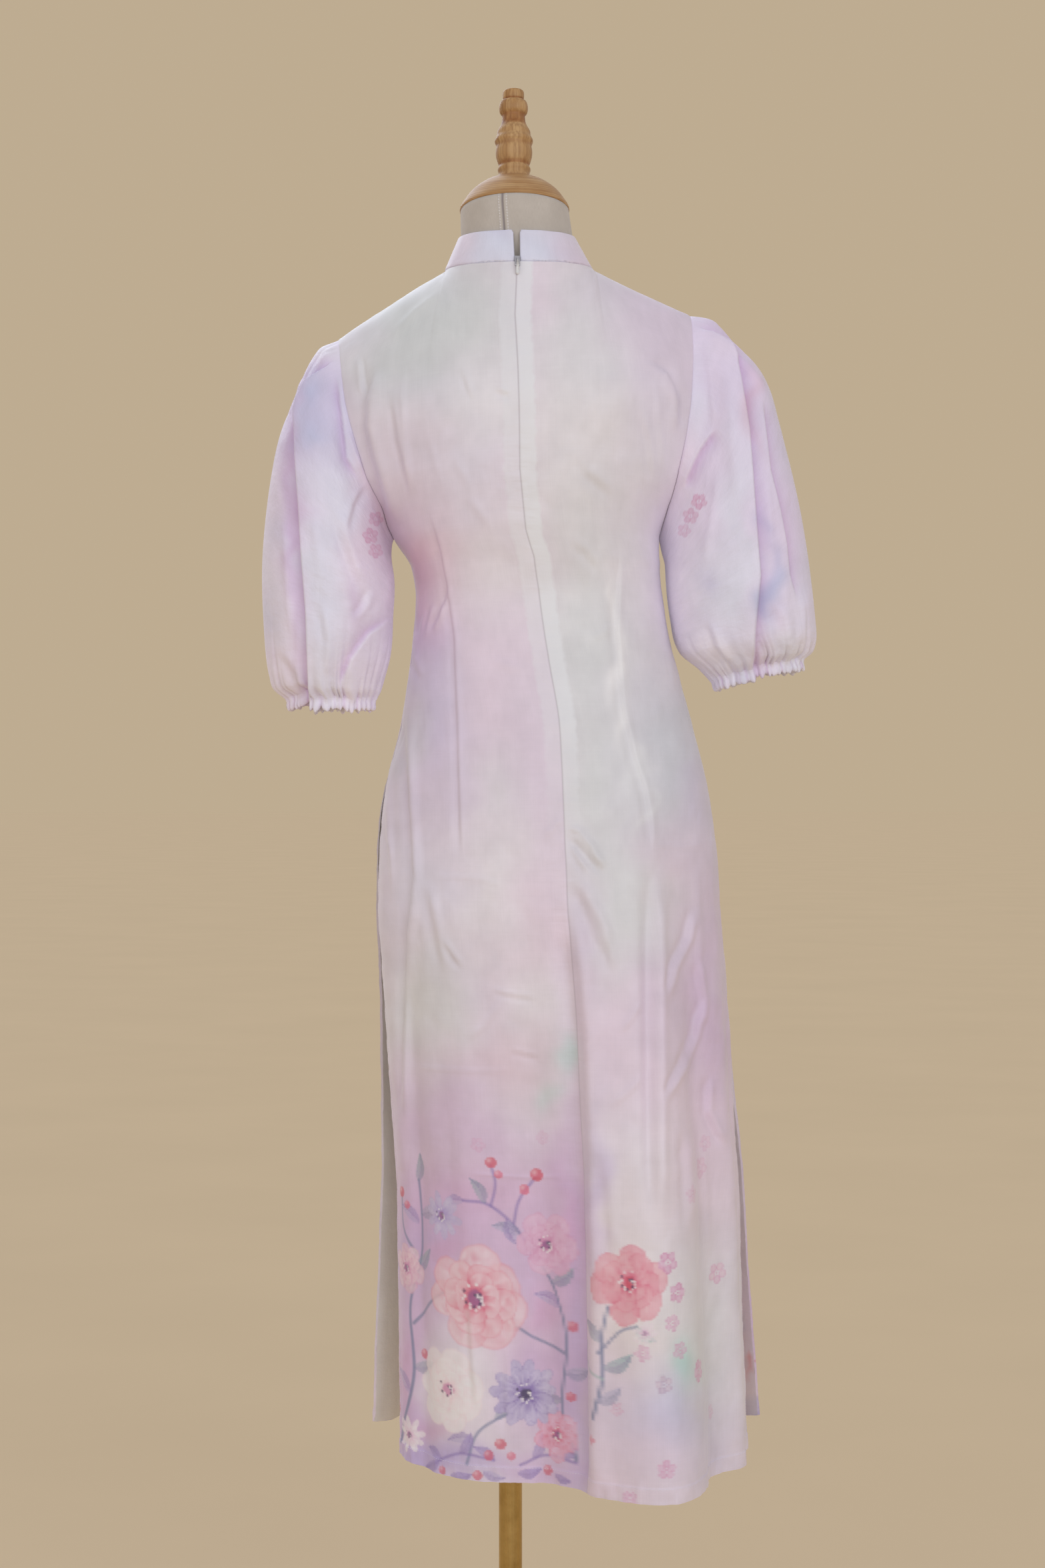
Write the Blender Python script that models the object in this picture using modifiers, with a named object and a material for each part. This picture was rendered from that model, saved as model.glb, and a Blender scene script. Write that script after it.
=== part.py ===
"""An ao dai tunic with puff sleeves, worn by a limbless dress form on a pole stand.

Metres, +Z up, floor at Z = 0, the pole's axis at X = Y = 0. The wearer's left is +X and the back is +Y.
The cloth is a thin wall, lofted through level sections of the garment that are halves of rounded ovals, and
the form inside is lofted in the same way. Both are drawn upright and then lean the way the form stands on
its pole.
"""

import math

import bmesh
import bpy
import numpy as np

SEAM = 0.0005  # gap between two sewn pieces
BACK_SEAM = 0.0006  # gap at the centre-back seam, whose inner edges lean together
GAP = 0.0003  # gap between two hard pieces
CLOTH = 0.0012  # wall of the printed cloth
COLLAR_CLOTH = 0.0018  # wall of the interfaced collar
OVAL = 2.2  # how square a level section is; 2 is an ellipse

# Neckline, shoulders and collar
NECK_HALF_WIDTH = 0.0725
NECK_BACK = 0.066
NECK_FRONT = 0.070
NECK_SIDE_Z = 1.3845
NECK_BACK_DROP = 0.002
NECK_FRONT_DROP = 0.042
SHOULDER_TIP = (0.171, 0.0, 1.330)
NECK_SHARE = 0.42  # share of a panel's half width that lies along the neckline
COLLAR_HEIGHT = 0.0310
COLLAR_TOP_RADIUS = 0.0575
COLLAR_SLOT_TOP = 0.0094
COLLAR_SLOT_FOOT = 0.0062
COLLAR_ROWS = 2
NECK_TWIST_DEG = 4.8  # how far the centre back strays round the neck to the wearer's left

# Level sections, from the top down. Each is half an oval that wraps from the centre line to the armhole,
# the side seam or the slit. knot is the distance down the cloth, rows the strips up to the section above,
# and seam_x how far the centre line strays to the wearer's left.
BACK_SECTIONS = [
    # name, knot, z_mid, z_edge, half_width, depth, y_axis, wrap_deg, rows, seam_x
    ("blade", 0.120, 1.268, 1.258, 0.1890, 0.100, 0.000, 60, 4, 0.0045),
    ("arm", 0.190, 1.196, 1.182, 0.1710, 0.103, 0.000, 60, 3, 0.0060),
    ("armpit", 0.256, 1.135, 1.125, 0.1290, 0.096, 0.000, 90, 3, 0.0080),
    ("ribs", 0.286, 1.102, 1.100, 0.1212, 0.089, 0.000, 90, 1, 0.0085),
    ("waist", 0.316, 1.070, 1.070, 0.1195, 0.082, 0.000, 90, 2, 0.0070),
    ("high_hip", 0.387, 1.000, 1.000, 0.1290, 0.093, 0.000, 90, 3, 0.0010),
    ("slit", 0.444, 0.945, 0.943, 0.1420, 0.108, 0.000, 90, 2, -0.0040),
    ("hip", 0.542, 0.850, 0.850, 0.1610, 0.124, 0.000, 89, 3, -0.0052),
    ("seat", 0.662, 0.730, 0.730, 0.1670, 0.127, 0.000, 88, 3, -0.0062),
    ("knee", 0.912, 0.480, 0.480, 0.1665, 0.108, 0.000, 88, 4, -0.0010),
    ("hem", 1.162, 0.228, 0.238, 0.1690, 0.088, 0.000, 88, 4, 0.0000),
]
FRONT_SECTIONS = [
    # name, knot, z_mid, z_edge, half_width, depth, y_axis, wrap_deg, rows, seam_x
    ("chest", 0.120, 1.258, 1.258, 0.1850, 0.094, 0.000, 60, 4, 0.0),
    ("bust", 0.190, 1.190, 1.182, 0.1680, 0.124, 0.000, 61, 3, 0.0),
    ("armpit", 0.256, 1.135, 1.125, 0.1290, 0.133, 0.000, 90, 3, 0.0),
    ("ribs", 0.286, 1.102, 1.100, 0.1212, 0.122, 0.000, 90, 1, 0.0),
    ("waist", 0.316, 1.070, 1.070, 0.1195, 0.105, 0.000, 90, 2, 0.0),
    ("high_hip", 0.387, 1.000, 1.000, 0.1290, 0.104, 0.000, 90, 3, 0.0),
    ("slit", 0.444, 0.945, 0.943, 0.1420, 0.109, 0.000, 90, 2, 0.0),
    ("hip", 0.542, 0.850, 0.850, 0.1630, 0.116, -0.004, 88, 3, 0.0),
    ("seat", 0.662, 0.730, 0.730, 0.1680, 0.112, -0.015, 86, 3, 0.0),
    ("knee", 0.912, 0.490, 0.490, 0.1815, 0.096, -0.038, 83, 4, 0.0),
    ("hem", 1.162, 0.242, 0.250, 0.1960, 0.092, -0.056, 81, 4, 0.0),
]
ARMPIT_ROW = 10
SLIT_ROW = 18
FIRST_STRIP = 0.2  # share of its even height that the top strip has: walls then meet level at the shoulder
NECK_COLUMNS = 5  # in each half of a panel, along the neck seam
BACK_SIDE_COLUMNS = 6  # in each half, along the shoulder seam
FRONT_SIDE_COLUMNS = 5

# Folds of the skirt. across runs from -1 at the wearer's right edge to 1 at the left one, and a fold grows
# from nothing at top_z to its full depth at full_z.
BACK_FOLDS = [
    # across, half_width, top_z, full_z, out
    (-0.20, 0.24, 0.95, 0.22, 0.092),
    (-0.44, 0.08, 0.86, 0.55, -0.010),
    (-0.66, 0.10, 0.80, 0.30, 0.014),
    (-0.84, 0.07, 0.80, 0.40, -0.008),
    (0.09, 0.09, 0.80, 0.30, -0.016),
    (0.40, 0.14, 0.90, 0.45, 0.008),
    (0.70, 0.08, 0.98, 0.60, -0.006),
]
FRONT_FOLDS = [
    # across, half_width, top_z, full_z, out
    (0.66, 0.13, 0.82, 0.25, 0.020),
    (0.34, 0.11, 0.78, 0.25, -0.014),
    (0.05, 0.14, 0.84, 0.25, 0.018),
    (-0.28, 0.11, 0.78, 0.25, -0.016),
    (-0.60, 0.14, 0.84, 0.25, 0.022),
]

# The form leans on its pole, so level sections shift sideways and tip. tip is the rise in Z for a metre
# of X.
LEAN = [
    # z, shift_x, tip
    (0.235, -0.0625, 0.000),
    (0.400, -0.0580, 0.000),
    (0.500, -0.0560, 0.000),
    (0.600, -0.0490, 0.000),
    (0.676, -0.0450, -0.004),
    (0.766, -0.0375, -0.008),
    (0.870, -0.0355, -0.015),
    (0.945, -0.0340, -0.020),
    (1.026, -0.0296, -0.020),
    (1.070, -0.0277, -0.020),
    (1.100, -0.0245, -0.010),
    (1.125, -0.0160, -0.010),
    (1.182, -0.0080, -0.035),
    (1.258, -0.0050, -0.070),
    (1.330, -0.0036, -0.082),
    (1.384, -0.0080, -0.015),
    (1.415, -0.0064, -0.005),
    (1.443, -0.0040, 0.000),
]

# Puff sleeves, already leaning: each ring is given by its outer and inner points in the frontal plane.
SLEEVE_RINGS = {
    "left": [
        # knot, outer_x, outer_z, inner_x, inner_z, y_mid, half_depth, rows
        (0.021, 0.1860, 1.306, 0.1165, 1.118, 0.000, 0.058, 1),
        (0.075, 0.2143, 1.260, 0.1175, 1.104, 0.001, 0.069, 2),
        (0.155, 0.2325, 1.182, 0.1140, 1.078, 0.003, 0.076, 2),
        (0.233, 0.2403, 1.104, 0.1140, 1.050, 0.004, 0.077, 3),
        (0.310, 0.2385, 1.028, 0.1175, 1.010, 0.004, 0.073, 2),
        (0.357, 0.2310, 0.982, 0.1270, 0.978, 0.004, 0.058, 2),
        (0.375, 0.2185, 0.970, 0.1310, 0.969, 0.004, 0.0455, 1),
    ],
    "right": [
        # knot, outer_x, outer_z, inner_x, inner_z, y_mid, half_depth, rows
        (0.029, -0.2030, 1.338, -0.1480, 1.112, 0.002, 0.058, 1),
        (0.096, -0.2461, 1.286, -0.1510, 1.098, 0.006, 0.070, 2),
        (0.177, -0.2695, 1.208, -0.1525, 1.072, 0.010, 0.077, 2),
        (0.267, -0.2875, 1.118, -0.1560, 1.044, 0.012, 0.078, 3),
        (0.340, -0.2960, 1.040, -0.1650, 1.014, 0.014, 0.073, 2),
        (0.378, -0.2930, 1.018, -0.1860, 0.998, 0.014, 0.059, 2),
        (0.396, -0.2845, 1.0095, -0.1955, 0.9895, 0.014, 0.046, 1),
    ],
}
ARMHOLE_HALF_DEPTH = 0.055
ARMHOLE_FADE = 0.16  # distance down a sleeve over which the armhole's own shape fades out
CAP_PLEATS = 5
CAP_SPREAD_DEG = 70
CAP_PLEAT_DEPTH = 0.0035
CAP_PLEAT_RISE = 0.03  # distance from the armhole at which the cap pleats are full
CAP_PLEAT_LENGTH = 0.17
LONG_FOLD_DEG = 75  # place of the long fold, from the sleeve's outer line towards the back
LONG_FOLD_WIDTH_DEG = 11
LONG_FOLD_DEPTH = 0.006
LONG_FOLD_RISE = 0.05
LONG_FOLD_FALL = 0.03
LONG_FOLD_VALLEY = 0.7  # depth of the valley beside the long fold, as a share of the fold's own
LONG_FOLD_VALLEY_WIDTHS = 1.5  # place of that valley, in widths of the fold
SLEEVE_GATHERS = 10
SLEEVE_GATHER_DEPTH = 0.004
SLEEVE_GATHER_LENGTH = 0.075
SLEEVE_GATHER_FALL = 0.015
SLEEVE_GATHER_LEFT = 0.4  # share of the gathers' depth that is left at the cuff
CUFF_GATHERS = 28
CUFF_GATHER_POINTS = 3
CUFF_GATHER_DEPTH = 0.0018
CUFF_HEIGHT = 0.0115

# Zip slider and its pull, drawn lying on a level cloth: +Y is away from the cloth and +Z is up the zip.
SLIDER_SIZE = (0.0052, 0.0014, 0.0105)
SLIDER_ROUND = 0.0006
SLIDER_Z = 1.3826
SLIDER_TILT_DEG = 17
BRIDGE_LENGTH = 0.0052
BRIDGE_WIDTH = 0.0012
BRIDGE_BAR = 0.0007
BRIDGE_FOOT = 0.0001  # what the hole under the bridge leaves on the slider
PIN_HEIGHT = 0.0024  # the pull's hinge line above the slider's back
PULL_LENGTH = 0.0155
PULL_TOP_WIDTH = 0.0030
PULL_WIDTH = 0.0040
PULL_THICKNESS = 0.0008
PULL_HOLE_LENGTH = 0.0032
PULL_HOLE_WIDTH = 0.0017
PULL_PIN = 0.0008
PULL_ROUND_STEPS = 8

# Dress form: its sections, from the neck's top down. slope is the rise in Z for a metre of Y.
FORM_SECTIONS = [
    # z, half_width, back, front, slope
    (1.4430, 0.0528, 0.0528, 0.0528, 0.14),
    (1.4150, 0.0545, 0.0545, 0.0540, 0.06),
    (1.3850, 0.0570, 0.0560, 0.0530, 0.00),
    (1.3660, 0.0690, 0.0580, 0.0520, 0.00),
    (1.3480, 0.0980, 0.0620, 0.0540, 0.00),
    (1.3250, 0.1300, 0.0680, 0.0640, 0.00),
    (1.2900, 0.1460, 0.0780, 0.0720, 0.00),
    (1.2500, 0.1500, 0.0860, 0.0800, 0.00),
    (1.1850, 0.1420, 0.0900, 0.1060, 0.00),
    (1.1250, 0.1180, 0.0850, 0.1200, 0.00),
    (1.0950, 0.1120, 0.0770, 0.1100, 0.00),
    (1.0650, 0.1110, 0.0720, 0.0940, 0.00),
    (1.0000, 0.1200, 0.0820, 0.0930, 0.00),
    (0.9450, 0.1320, 0.0960, 0.0970, 0.00),
    (0.8500, 0.1500, 0.1110, 0.1030, 0.00),
    (0.7850, 0.1530, 0.1120, 0.1030, 0.00),
    (0.7600, 0.1430, 0.1040, 0.0950, 0.00),
    (0.7530, 0.1320, 0.0940, 0.0850, 0.00),
]
FORM_COLUMNS = 28

# Stand, neck cap and finial
POLE_RADIUS = 0.0113
BASE_PROFILE = [
    # radius, z, from the top down
    (0.0000, 0.0600),
    (0.0160, 0.0600),
    (0.0175, 0.0585),
    (0.0175, 0.0350),
    (0.0250, 0.0240),
    (0.0600, 0.0175),
    (0.1450, 0.0130),
    (0.1620, 0.0110),
    (0.1650, 0.0075),
    (0.1650, 0.0030),
    (0.1630, 0.0000),
    (0.0000, 0.0000),
]
# The cap and finial are drawn above the middle of the neck's top and lean forward with it.
CAP_PROFILE = [
    # radius, height
    (0.0000, 0.0330),
    (0.0160, 0.0327),
    (0.0230, 0.0312),
    (0.0330, 0.0262),
    (0.0430, 0.0180),
    (0.0500, 0.0085),
    (0.0533, 0.0025),
    (0.0528, 0.0003),
    (0.0000, 0.0003),
]
FINIAL_PROFILE = [
    # radius, height
    (0.0000, 0.1235),
    (0.0090, 0.1233),
    (0.0103, 0.1217),
    (0.0103, 0.1162),
    (0.0099, 0.1137),
    (0.0128, 0.1117),
    (0.0141, 0.1062),
    (0.0134, 0.1012),
    (0.0113, 0.0982),
    (0.0113, 0.0937),
    (0.0122, 0.0892),
    (0.0160, 0.0817),
    (0.0166, 0.0772),
    (0.0187, 0.0720),
    (0.0172, 0.0672),
    (0.0178, 0.0617),
    (0.0175, 0.0562),
    (0.0162, 0.0512),
    (0.0147, 0.0467),
    (0.0160, 0.0430),
    (0.0149, 0.0382),
    (0.0156, 0.0333),
    (0.0000, 0.0333),
]
TURNED_STEPS = 24
BASE_STEPS = 36
MERGE_DISTANCE = 0.00005  # joins the ends of a swept profile on its axis

COLOURS = {
    # name: (red, green, blue, roughness, metallic)
    "printed_cloth": (0.66, 0.57, 0.68, 0.55, 0.0),
    "collar_cloth": (0.70, 0.66, 0.76, 0.55, 0.0),
    "form_jersey": (0.42, 0.38, 0.33, 0.85, 0.0),
    "varnished_wood": (0.46, 0.27, 0.12, 0.35, 0.0),
    "brass": (0.55, 0.38, 0.14, 0.30, 1.0),
    "zip_nickel": (0.70, 0.70, 0.70, 0.25, 1.0),
}


def hermite(knots, controls, at, first_slope=None):
    """Smooth curves through the controls (one row for each knot), read at the distances in at."""
    knots = np.asarray(knots, float)
    controls = np.asarray(controls, float)
    slopes = np.empty_like(controls)
    slopes[1:-1] = (controls[2:] - controls[:-2]) / (knots[2:] - knots[:-2])[:, None, None]
    slopes[-1] = (controls[-1] - controls[-2]) / (knots[-1] - knots[-2])
    slopes[0] = (controls[1] - controls[0]) / (knots[1] - knots[0])
    if first_slope is not None:
        slopes[0] = first_slope
    rows = []
    for place in at:
        k = int(np.clip(np.searchsorted(knots, place, side="right") - 1, 0, len(knots) - 2))
        span = knots[k + 1] - knots[k]
        t = (place - knots[k]) / span
        rows.append(
            (2 * t**3 - 3 * t**2 + 1) * controls[k]
            + (t**3 - 2 * t**2 + t) * span * slopes[k]
            + (3 * t**2 - 2 * t**3) * controls[k + 1]
            + (t**3 - t**2) * span * slopes[k + 1]
        )
    return np.array(rows)


def smooth_step(x):
    x = np.clip(x, 0.0, 1.0)
    return x * x * (3 - 2 * x)


def row_places(knots, rows):
    """Distances down the cloth of the strips' edges: each knot's rows divide the stretch above it."""
    places = [0.0]
    for knot, count in zip(knots, rows):
        start = places[-1]
        places += [start + (knot - start) * (i + 1) / count for i in range(count)]
    return places


def panel_places(sections):
    places = row_places([section[1] for section in sections], [section[8] for section in sections])
    places[1] *= FIRST_STRIP
    return places


def panel_columns(side_columns):
    """Columns from -1 to 1, closer together along the neck seam than along the shoulder seams."""
    neck = np.linspace(0, NECK_SHARE, NECK_COLUMNS + 1)
    side = np.linspace(NECK_SHARE, 1, side_columns + 1)[1:]
    half = np.concatenate([neck, side])
    return np.concatenate([-half[:0:-1], half])


def neckline(across, side):
    """Top edge of the back (side 1) or front (side -1): the neck seam, then the shoulder seam."""
    turn = np.clip(across / NECK_SHARE, -1, 1)
    twist = math.radians(NECK_TWIST_DEG) if side > 0 else 0.0
    angle = turn * math.pi / 2 + twist * (1 - turn**2)
    radius, drop = (NECK_BACK, NECK_BACK_DROP) if side > 0 else (NECK_FRONT, NECK_FRONT_DROP)
    x = NECK_HALF_WIDTH * np.sin(angle)
    y = side * radius * np.cos(angle)
    y = np.where(np.abs(turn) == 1, 0.0, y)
    z = NECK_SIDE_Z - drop * np.cos(angle) ** 2
    along = np.clip((np.abs(across) - NECK_SHARE) / (1 - NECK_SHARE), 0, 1)
    x += np.sign(across) * along * (SHOULDER_TIP[0] - NECK_HALF_WIDTH)
    z += along * (SHOULDER_TIP[2] - NECK_SIDE_Z)
    return np.stack([x, y, z], axis=1)


def panel(sections, side, across, places, folds):
    """Upright grid of the back (side 1) or front (side -1): rows for the places, columns for across."""
    controls = [neckline(across, side)]
    knots = [0.0]
    for _, knot, z_mid, z_edge, half_width, depth, y_axis, wrap, _, seam_x in sections:
        angle = across * math.radians(wrap)
        x = half_width * np.sign(angle) * np.abs(np.sin(angle)) ** (2 / OVAL)
        x += seam_x * (1 - across**2) ** 2
        y = y_axis + side * depth * np.abs(np.cos(angle)) ** (2 / OVAL)
        z = z_mid + (z_edge - z_mid) * across**2
        controls.append(np.stack([x, y, z], axis=1))
        knots.append(knot)
    controls = np.array(controls)
    # The cloth leaves the neck seam straight towards the next section and passes level over the shoulder.
    chord = controls[1] - controls[0]
    length = np.linalg.norm(chord, axis=1)[:, None]
    over_shoulder = np.clip(np.abs(across) / NECK_SHARE, 0, 1)[:, None] ** 3
    slope = (1 - over_shoulder) * chord / length + over_shoulder * np.array([0.0, side, 0.0])
    slope *= length / np.linalg.norm(slope, axis=1)[:, None] / knots[1]
    grid = hermite(knots, controls, places, slope)
    grid = add_folds(grid, across, side, folds)
    grid[ARMPIT_ROW : SLIT_ROW + 1, (0, -1), 1] = 0.0
    return grid


def add_folds(grid, across, side, folds):
    """Moves the skirt out from the legs along each fold."""
    along = np.gradient(grid, axis=1)
    out = np.stack([-along[:, :, 1], along[:, :, 0], np.zeros(grid.shape[:2])], axis=2) * side
    out /= np.maximum(np.linalg.norm(out, axis=2), 1e-9)[:, :, None]
    depth = np.zeros(grid.shape[:2])
    for place, half_width, top_z, full_z, fold_depth in folds:
        across_fold = np.exp(-(((across - place) / half_width) ** 2))
        down = smooth_step((top_z - grid[:, :, 2]) / (top_z - full_z))
        depth += fold_depth * across_fold * down
    return grid + out * depth[:, :, None]


def lean(points):
    """Shifts and tips upright points to where the leaning form carries them."""
    z_table, shift_table, tip_table = np.array(LEAN).T
    z = points[..., 2]
    moved = points.copy()
    moved[..., 2] += points[..., 0] * np.interp(z, z_table, tip_table)
    moved[..., 0] += np.interp(z, z_table, shift_table)
    return moved


def with_midpoints(points):
    """The points with one more halfway to each next point."""
    halfway = (points[:-1] + points[1:]) / 2
    return np.concatenate([np.stack([points[:-1], halfway], axis=1).reshape(-1, 3), points[-1:]])


def collar_grid(back, front):
    """The standing collar's outer side, top row first, from one end of the back slot round to the other."""
    middle = back.shape[1] // 2
    left_back = back[0, middle : middle + NECK_COLUMNS + 1]
    right_back = back[0, middle - NECK_COLUMNS : middle + 1]
    middle = front.shape[1] // 2
    round_front = front[0, middle - NECK_COLUMNS : middle + NECK_COLUMNS + 1][::-1]
    seam = with_midpoints(np.concatenate([left_back, round_front[1:-1], right_back]))
    rows = []
    for row in range(COLLAR_ROWS + 1):
        up = 1 - row / COLLAR_ROWS
        depth = np.where(seam[:, 1] > 0, NECK_BACK, NECK_FRONT)
        unit = seam[:, :2] / np.stack([np.full(len(seam), NECK_HALF_WIDTH), depth], axis=1)
        top = COLLAR_TOP_RADIUS * unit / np.linalg.norm(unit, axis=1)[:, None]
        ring = seam + np.array([0, 0, SEAM + COLLAR_HEIGHT * up])
        ring[:, :2] += (top - seam[:, :2]) * up
        slot = COLLAR_SLOT_FOOT + (COLLAR_SLOT_TOP - COLLAR_SLOT_FOOT) * up
        for end, beside in ((0, 1), (-1, -2)):
            step = ring[beside] - ring[end]
            ring[end] += step * (slot / 2 / np.linalg.norm(step))
        rows.append(ring)
    return np.array(rows)


def armhole(back, front, column):
    """Loop from the shoulder tip down the back's edge to the armpit and up the front's, with midpoints."""
    down = back[: ARMPIT_ROW + 1, column]
    up = front[: ARMPIT_ROW + 1, column][::-1]
    tip = (down[0] + up[-1]) / 2
    armpit = (down[-1] + up[0]) / 2
    return with_midpoints(np.concatenate([[tip], down[1:-1], [armpit], up[1:-1], [tip]]))[:-1]


def ring_points(outer, inner, y_mid, half_depth, angle):
    """Points round a ring, from its outer point through the back, the inner point and the front."""
    middle = (outer + inner) / 2 + np.array([0, y_mid, 0])
    back = np.array([0, half_depth, 0])
    return middle + np.cos(angle)[:, None] * (outer - inner) / 2 + np.sin(angle)[:, None] * back


def sleeve_ring(ring, angle):
    _, outer_x, outer_z, inner_x, inner_z, y_mid, half_depth, _ = ring
    outer = np.array([outer_x, 0, outer_z])
    inner = np.array([inner_x, 0, inner_z])
    return ring_points(outer, inner, y_mid, half_depth, angle)


def sleeve_controls(loop, rings):
    """The sleeve's rings from the armhole's loop down, whose own shape fades out on the way."""
    count = len(loop)
    angle = np.arange(count) * 2 * math.pi / count
    plain = ring_points(loop[0], loop[count // 2], 0.0, ARMHOLE_HALF_DEPTH, angle)
    fade = [1 - smooth_step(ring[0] / ARMHOLE_FADE) for ring in rings]
    controls = [sleeve_ring(ring, angle) + keep * (loop - plain) for ring, keep in zip(rings, fade)]
    # The sleeve starts beside the armhole's edge, square to it and towards the first ring.
    edge = np.roll(loop, -1, axis=0) - np.roll(loop, 1, axis=0)
    edge /= np.linalg.norm(edge, axis=1)[:, None]
    away = controls[0] - loop
    away -= edge * (away * edge).sum(axis=1)[:, None]
    away /= np.linalg.norm(away, axis=1)[:, None]
    return np.array([loop + SEAM * away] + controls)


def sleeve_grid(loop, rings):
    """The sleeve's outer side from the armhole down, puffed by cap pleats, a long fold and gathers."""
    knots = [ring[0] for ring in rings]
    places = row_places(knots, [ring[7] for ring in rings])
    grid = hermite([0.0] + knots, sleeve_controls(loop, rings), places)
    angle = np.arange(len(loop)) * 2 * math.pi / len(loop)
    from_top = np.degrees(np.minimum(angle, 2 * math.pi - angle))
    cap = np.cos(np.clip(from_top / CAP_SPREAD_DEG, 0, 1) * math.pi / 2)
    cap_wave = np.cos(np.radians(from_top) * CAP_PLEATS * 180 / CAP_SPREAD_DEG)
    from_fold = (np.degrees(angle) - LONG_FOLD_DEG) / LONG_FOLD_WIDTH_DEG
    valley = np.exp(-((from_fold + LONG_FOLD_VALLEY_WIDTHS) ** 2))
    long_fold = np.exp(-(from_fold**2)) - LONG_FOLD_VALLEY * valley
    gathers = np.cos(SLEEVE_GATHERS * angle)
    for row, place in zip(grid, places):
        radial = row - row.mean(axis=0)
        radial /= np.linalg.norm(radial, axis=1)[:, None]
        to_cuff = knots[-1] - place
        cap_fade = smooth_step(place / CAP_PLEAT_RISE) * (1 - smooth_step(place / CAP_PLEAT_LENGTH))
        fold_fade = smooth_step(place / LONG_FOLD_RISE) * smooth_step(to_cuff / LONG_FOLD_FALL)
        end_fade = smooth_step(to_cuff / SLEEVE_GATHER_FALL) * (1 - SLEEVE_GATHER_LEFT)
        gather_fade = smooth_step(1 - to_cuff / SLEEVE_GATHER_LENGTH) * (end_fade + SLEEVE_GATHER_LEFT)
        bump = CAP_PLEAT_DEPTH * cap_fade * cap * cap_wave
        bump += LONG_FOLD_DEPTH * fold_fade * long_fold
        bump += SLEEVE_GATHER_DEPTH * gather_fade * gathers
        row += radial * bump[:, None]
    return grid


def cuff_grid(ring):
    """The elastic casing below a sleeve's last ring: a short band in even gathers."""
    count = CUFF_GATHERS * CUFF_GATHER_POINTS
    angle = np.arange(count) * 2 * math.pi / count
    top = sleeve_ring(ring, angle)
    middle = top.mean(axis=0)
    axis = np.cross(top[count // 4] - middle, top[0] - middle)
    axis *= -np.sign(axis[2]) / np.linalg.norm(axis)
    radial = (top - middle) / np.linalg.norm(top - middle, axis=1)[:, None]
    top = top + radial * (CUFF_GATHER_DEPTH * np.cos(CUFF_GATHERS * angle))[:, None] + axis * SEAM
    return np.array([top, top + axis * CUFF_HEIGHT])


def make_material(name):
    red, green, blue, roughness, metallic = COLOURS[name]
    material = bpy.data.materials.new(name)
    material.use_nodes = True
    shader = material.node_tree.nodes["Principled BSDF"]
    shader.inputs["Base Color"].default_value = (red, green, blue, 1.0)
    shader.inputs["Roughness"].default_value = roughness
    shader.inputs["Metallic"].default_value = metallic
    material.diffuse_color = (red, green, blue, 1.0)
    return material


def add_object(name, mesh, material, collection):
    obj = bpy.data.objects.new(name, mesh)
    obj.data.materials.clear()
    obj.data.materials.append(bpy.data.materials.get(material) or make_material(material))
    collection.objects.link(obj)
    return obj


def loft(name, grid, material, collection, closed=False, flip=False, caps=False):
    """A mesh over a grid of points, which may close on itself round each row and be capped at both ends."""
    rows, columns = grid.shape[:2]
    mesh = bpy.data.meshes.new(name)
    shape = bmesh.new()
    corners = [[shape.verts.new(point) for point in row] for row in grid.tolist()]
    for i in range(rows - 1):
        for j in range(columns if closed else columns - 1):
            after = (j + 1) % columns
            face = [corners[i][j], corners[i + 1][j], corners[i + 1][after], corners[i][after]]
            shape.faces.new(face[::-1] if flip else face)
    if caps:
        shape.faces.new(corners[0] if not flip else corners[0][::-1])
        shape.faces.new(corners[-1][::-1] if not flip else corners[-1])
    shape.to_mesh(mesh)
    shape.free()
    mesh.shade_smooth()
    return add_object(name, mesh, material, collection)


def thicken(obj, thickness):
    wall = obj.modifiers.new("wall", "SOLIDIFY")
    wall.thickness = thickness
    wall.offset = -1


def turned(name, profile, steps, material, collection):
    """A turned piece: its profile swept round the object's upright axis."""
    mesh = bpy.data.meshes.new(name)
    mesh.from_pydata(
        [(radius, 0.0, z) for radius, z in profile], [(i, i + 1) for i in range(len(profile) - 1)], []
    )
    obj = add_object(name, mesh, material, collection)
    screw = obj.modifiers.new("turn", "SCREW")
    screw.steps = steps
    screw.render_steps = steps
    screw.use_merge_vertices = True
    screw.merge_threshold = MERGE_DISTANCE
    screw.use_smooth_shade = True
    return obj


def box(name, size, location, collection):
    bpy.ops.mesh.primitive_cube_add(size=1, location=location)
    obj = bpy.context.object
    obj.name = name
    obj.scale = size
    bpy.ops.object.transform_apply(location=False, rotation=False, scale=True)
    for other in list(obj.users_collection):
        other.objects.unlink(obj)
    collection.objects.link(obj)
    return obj


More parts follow.
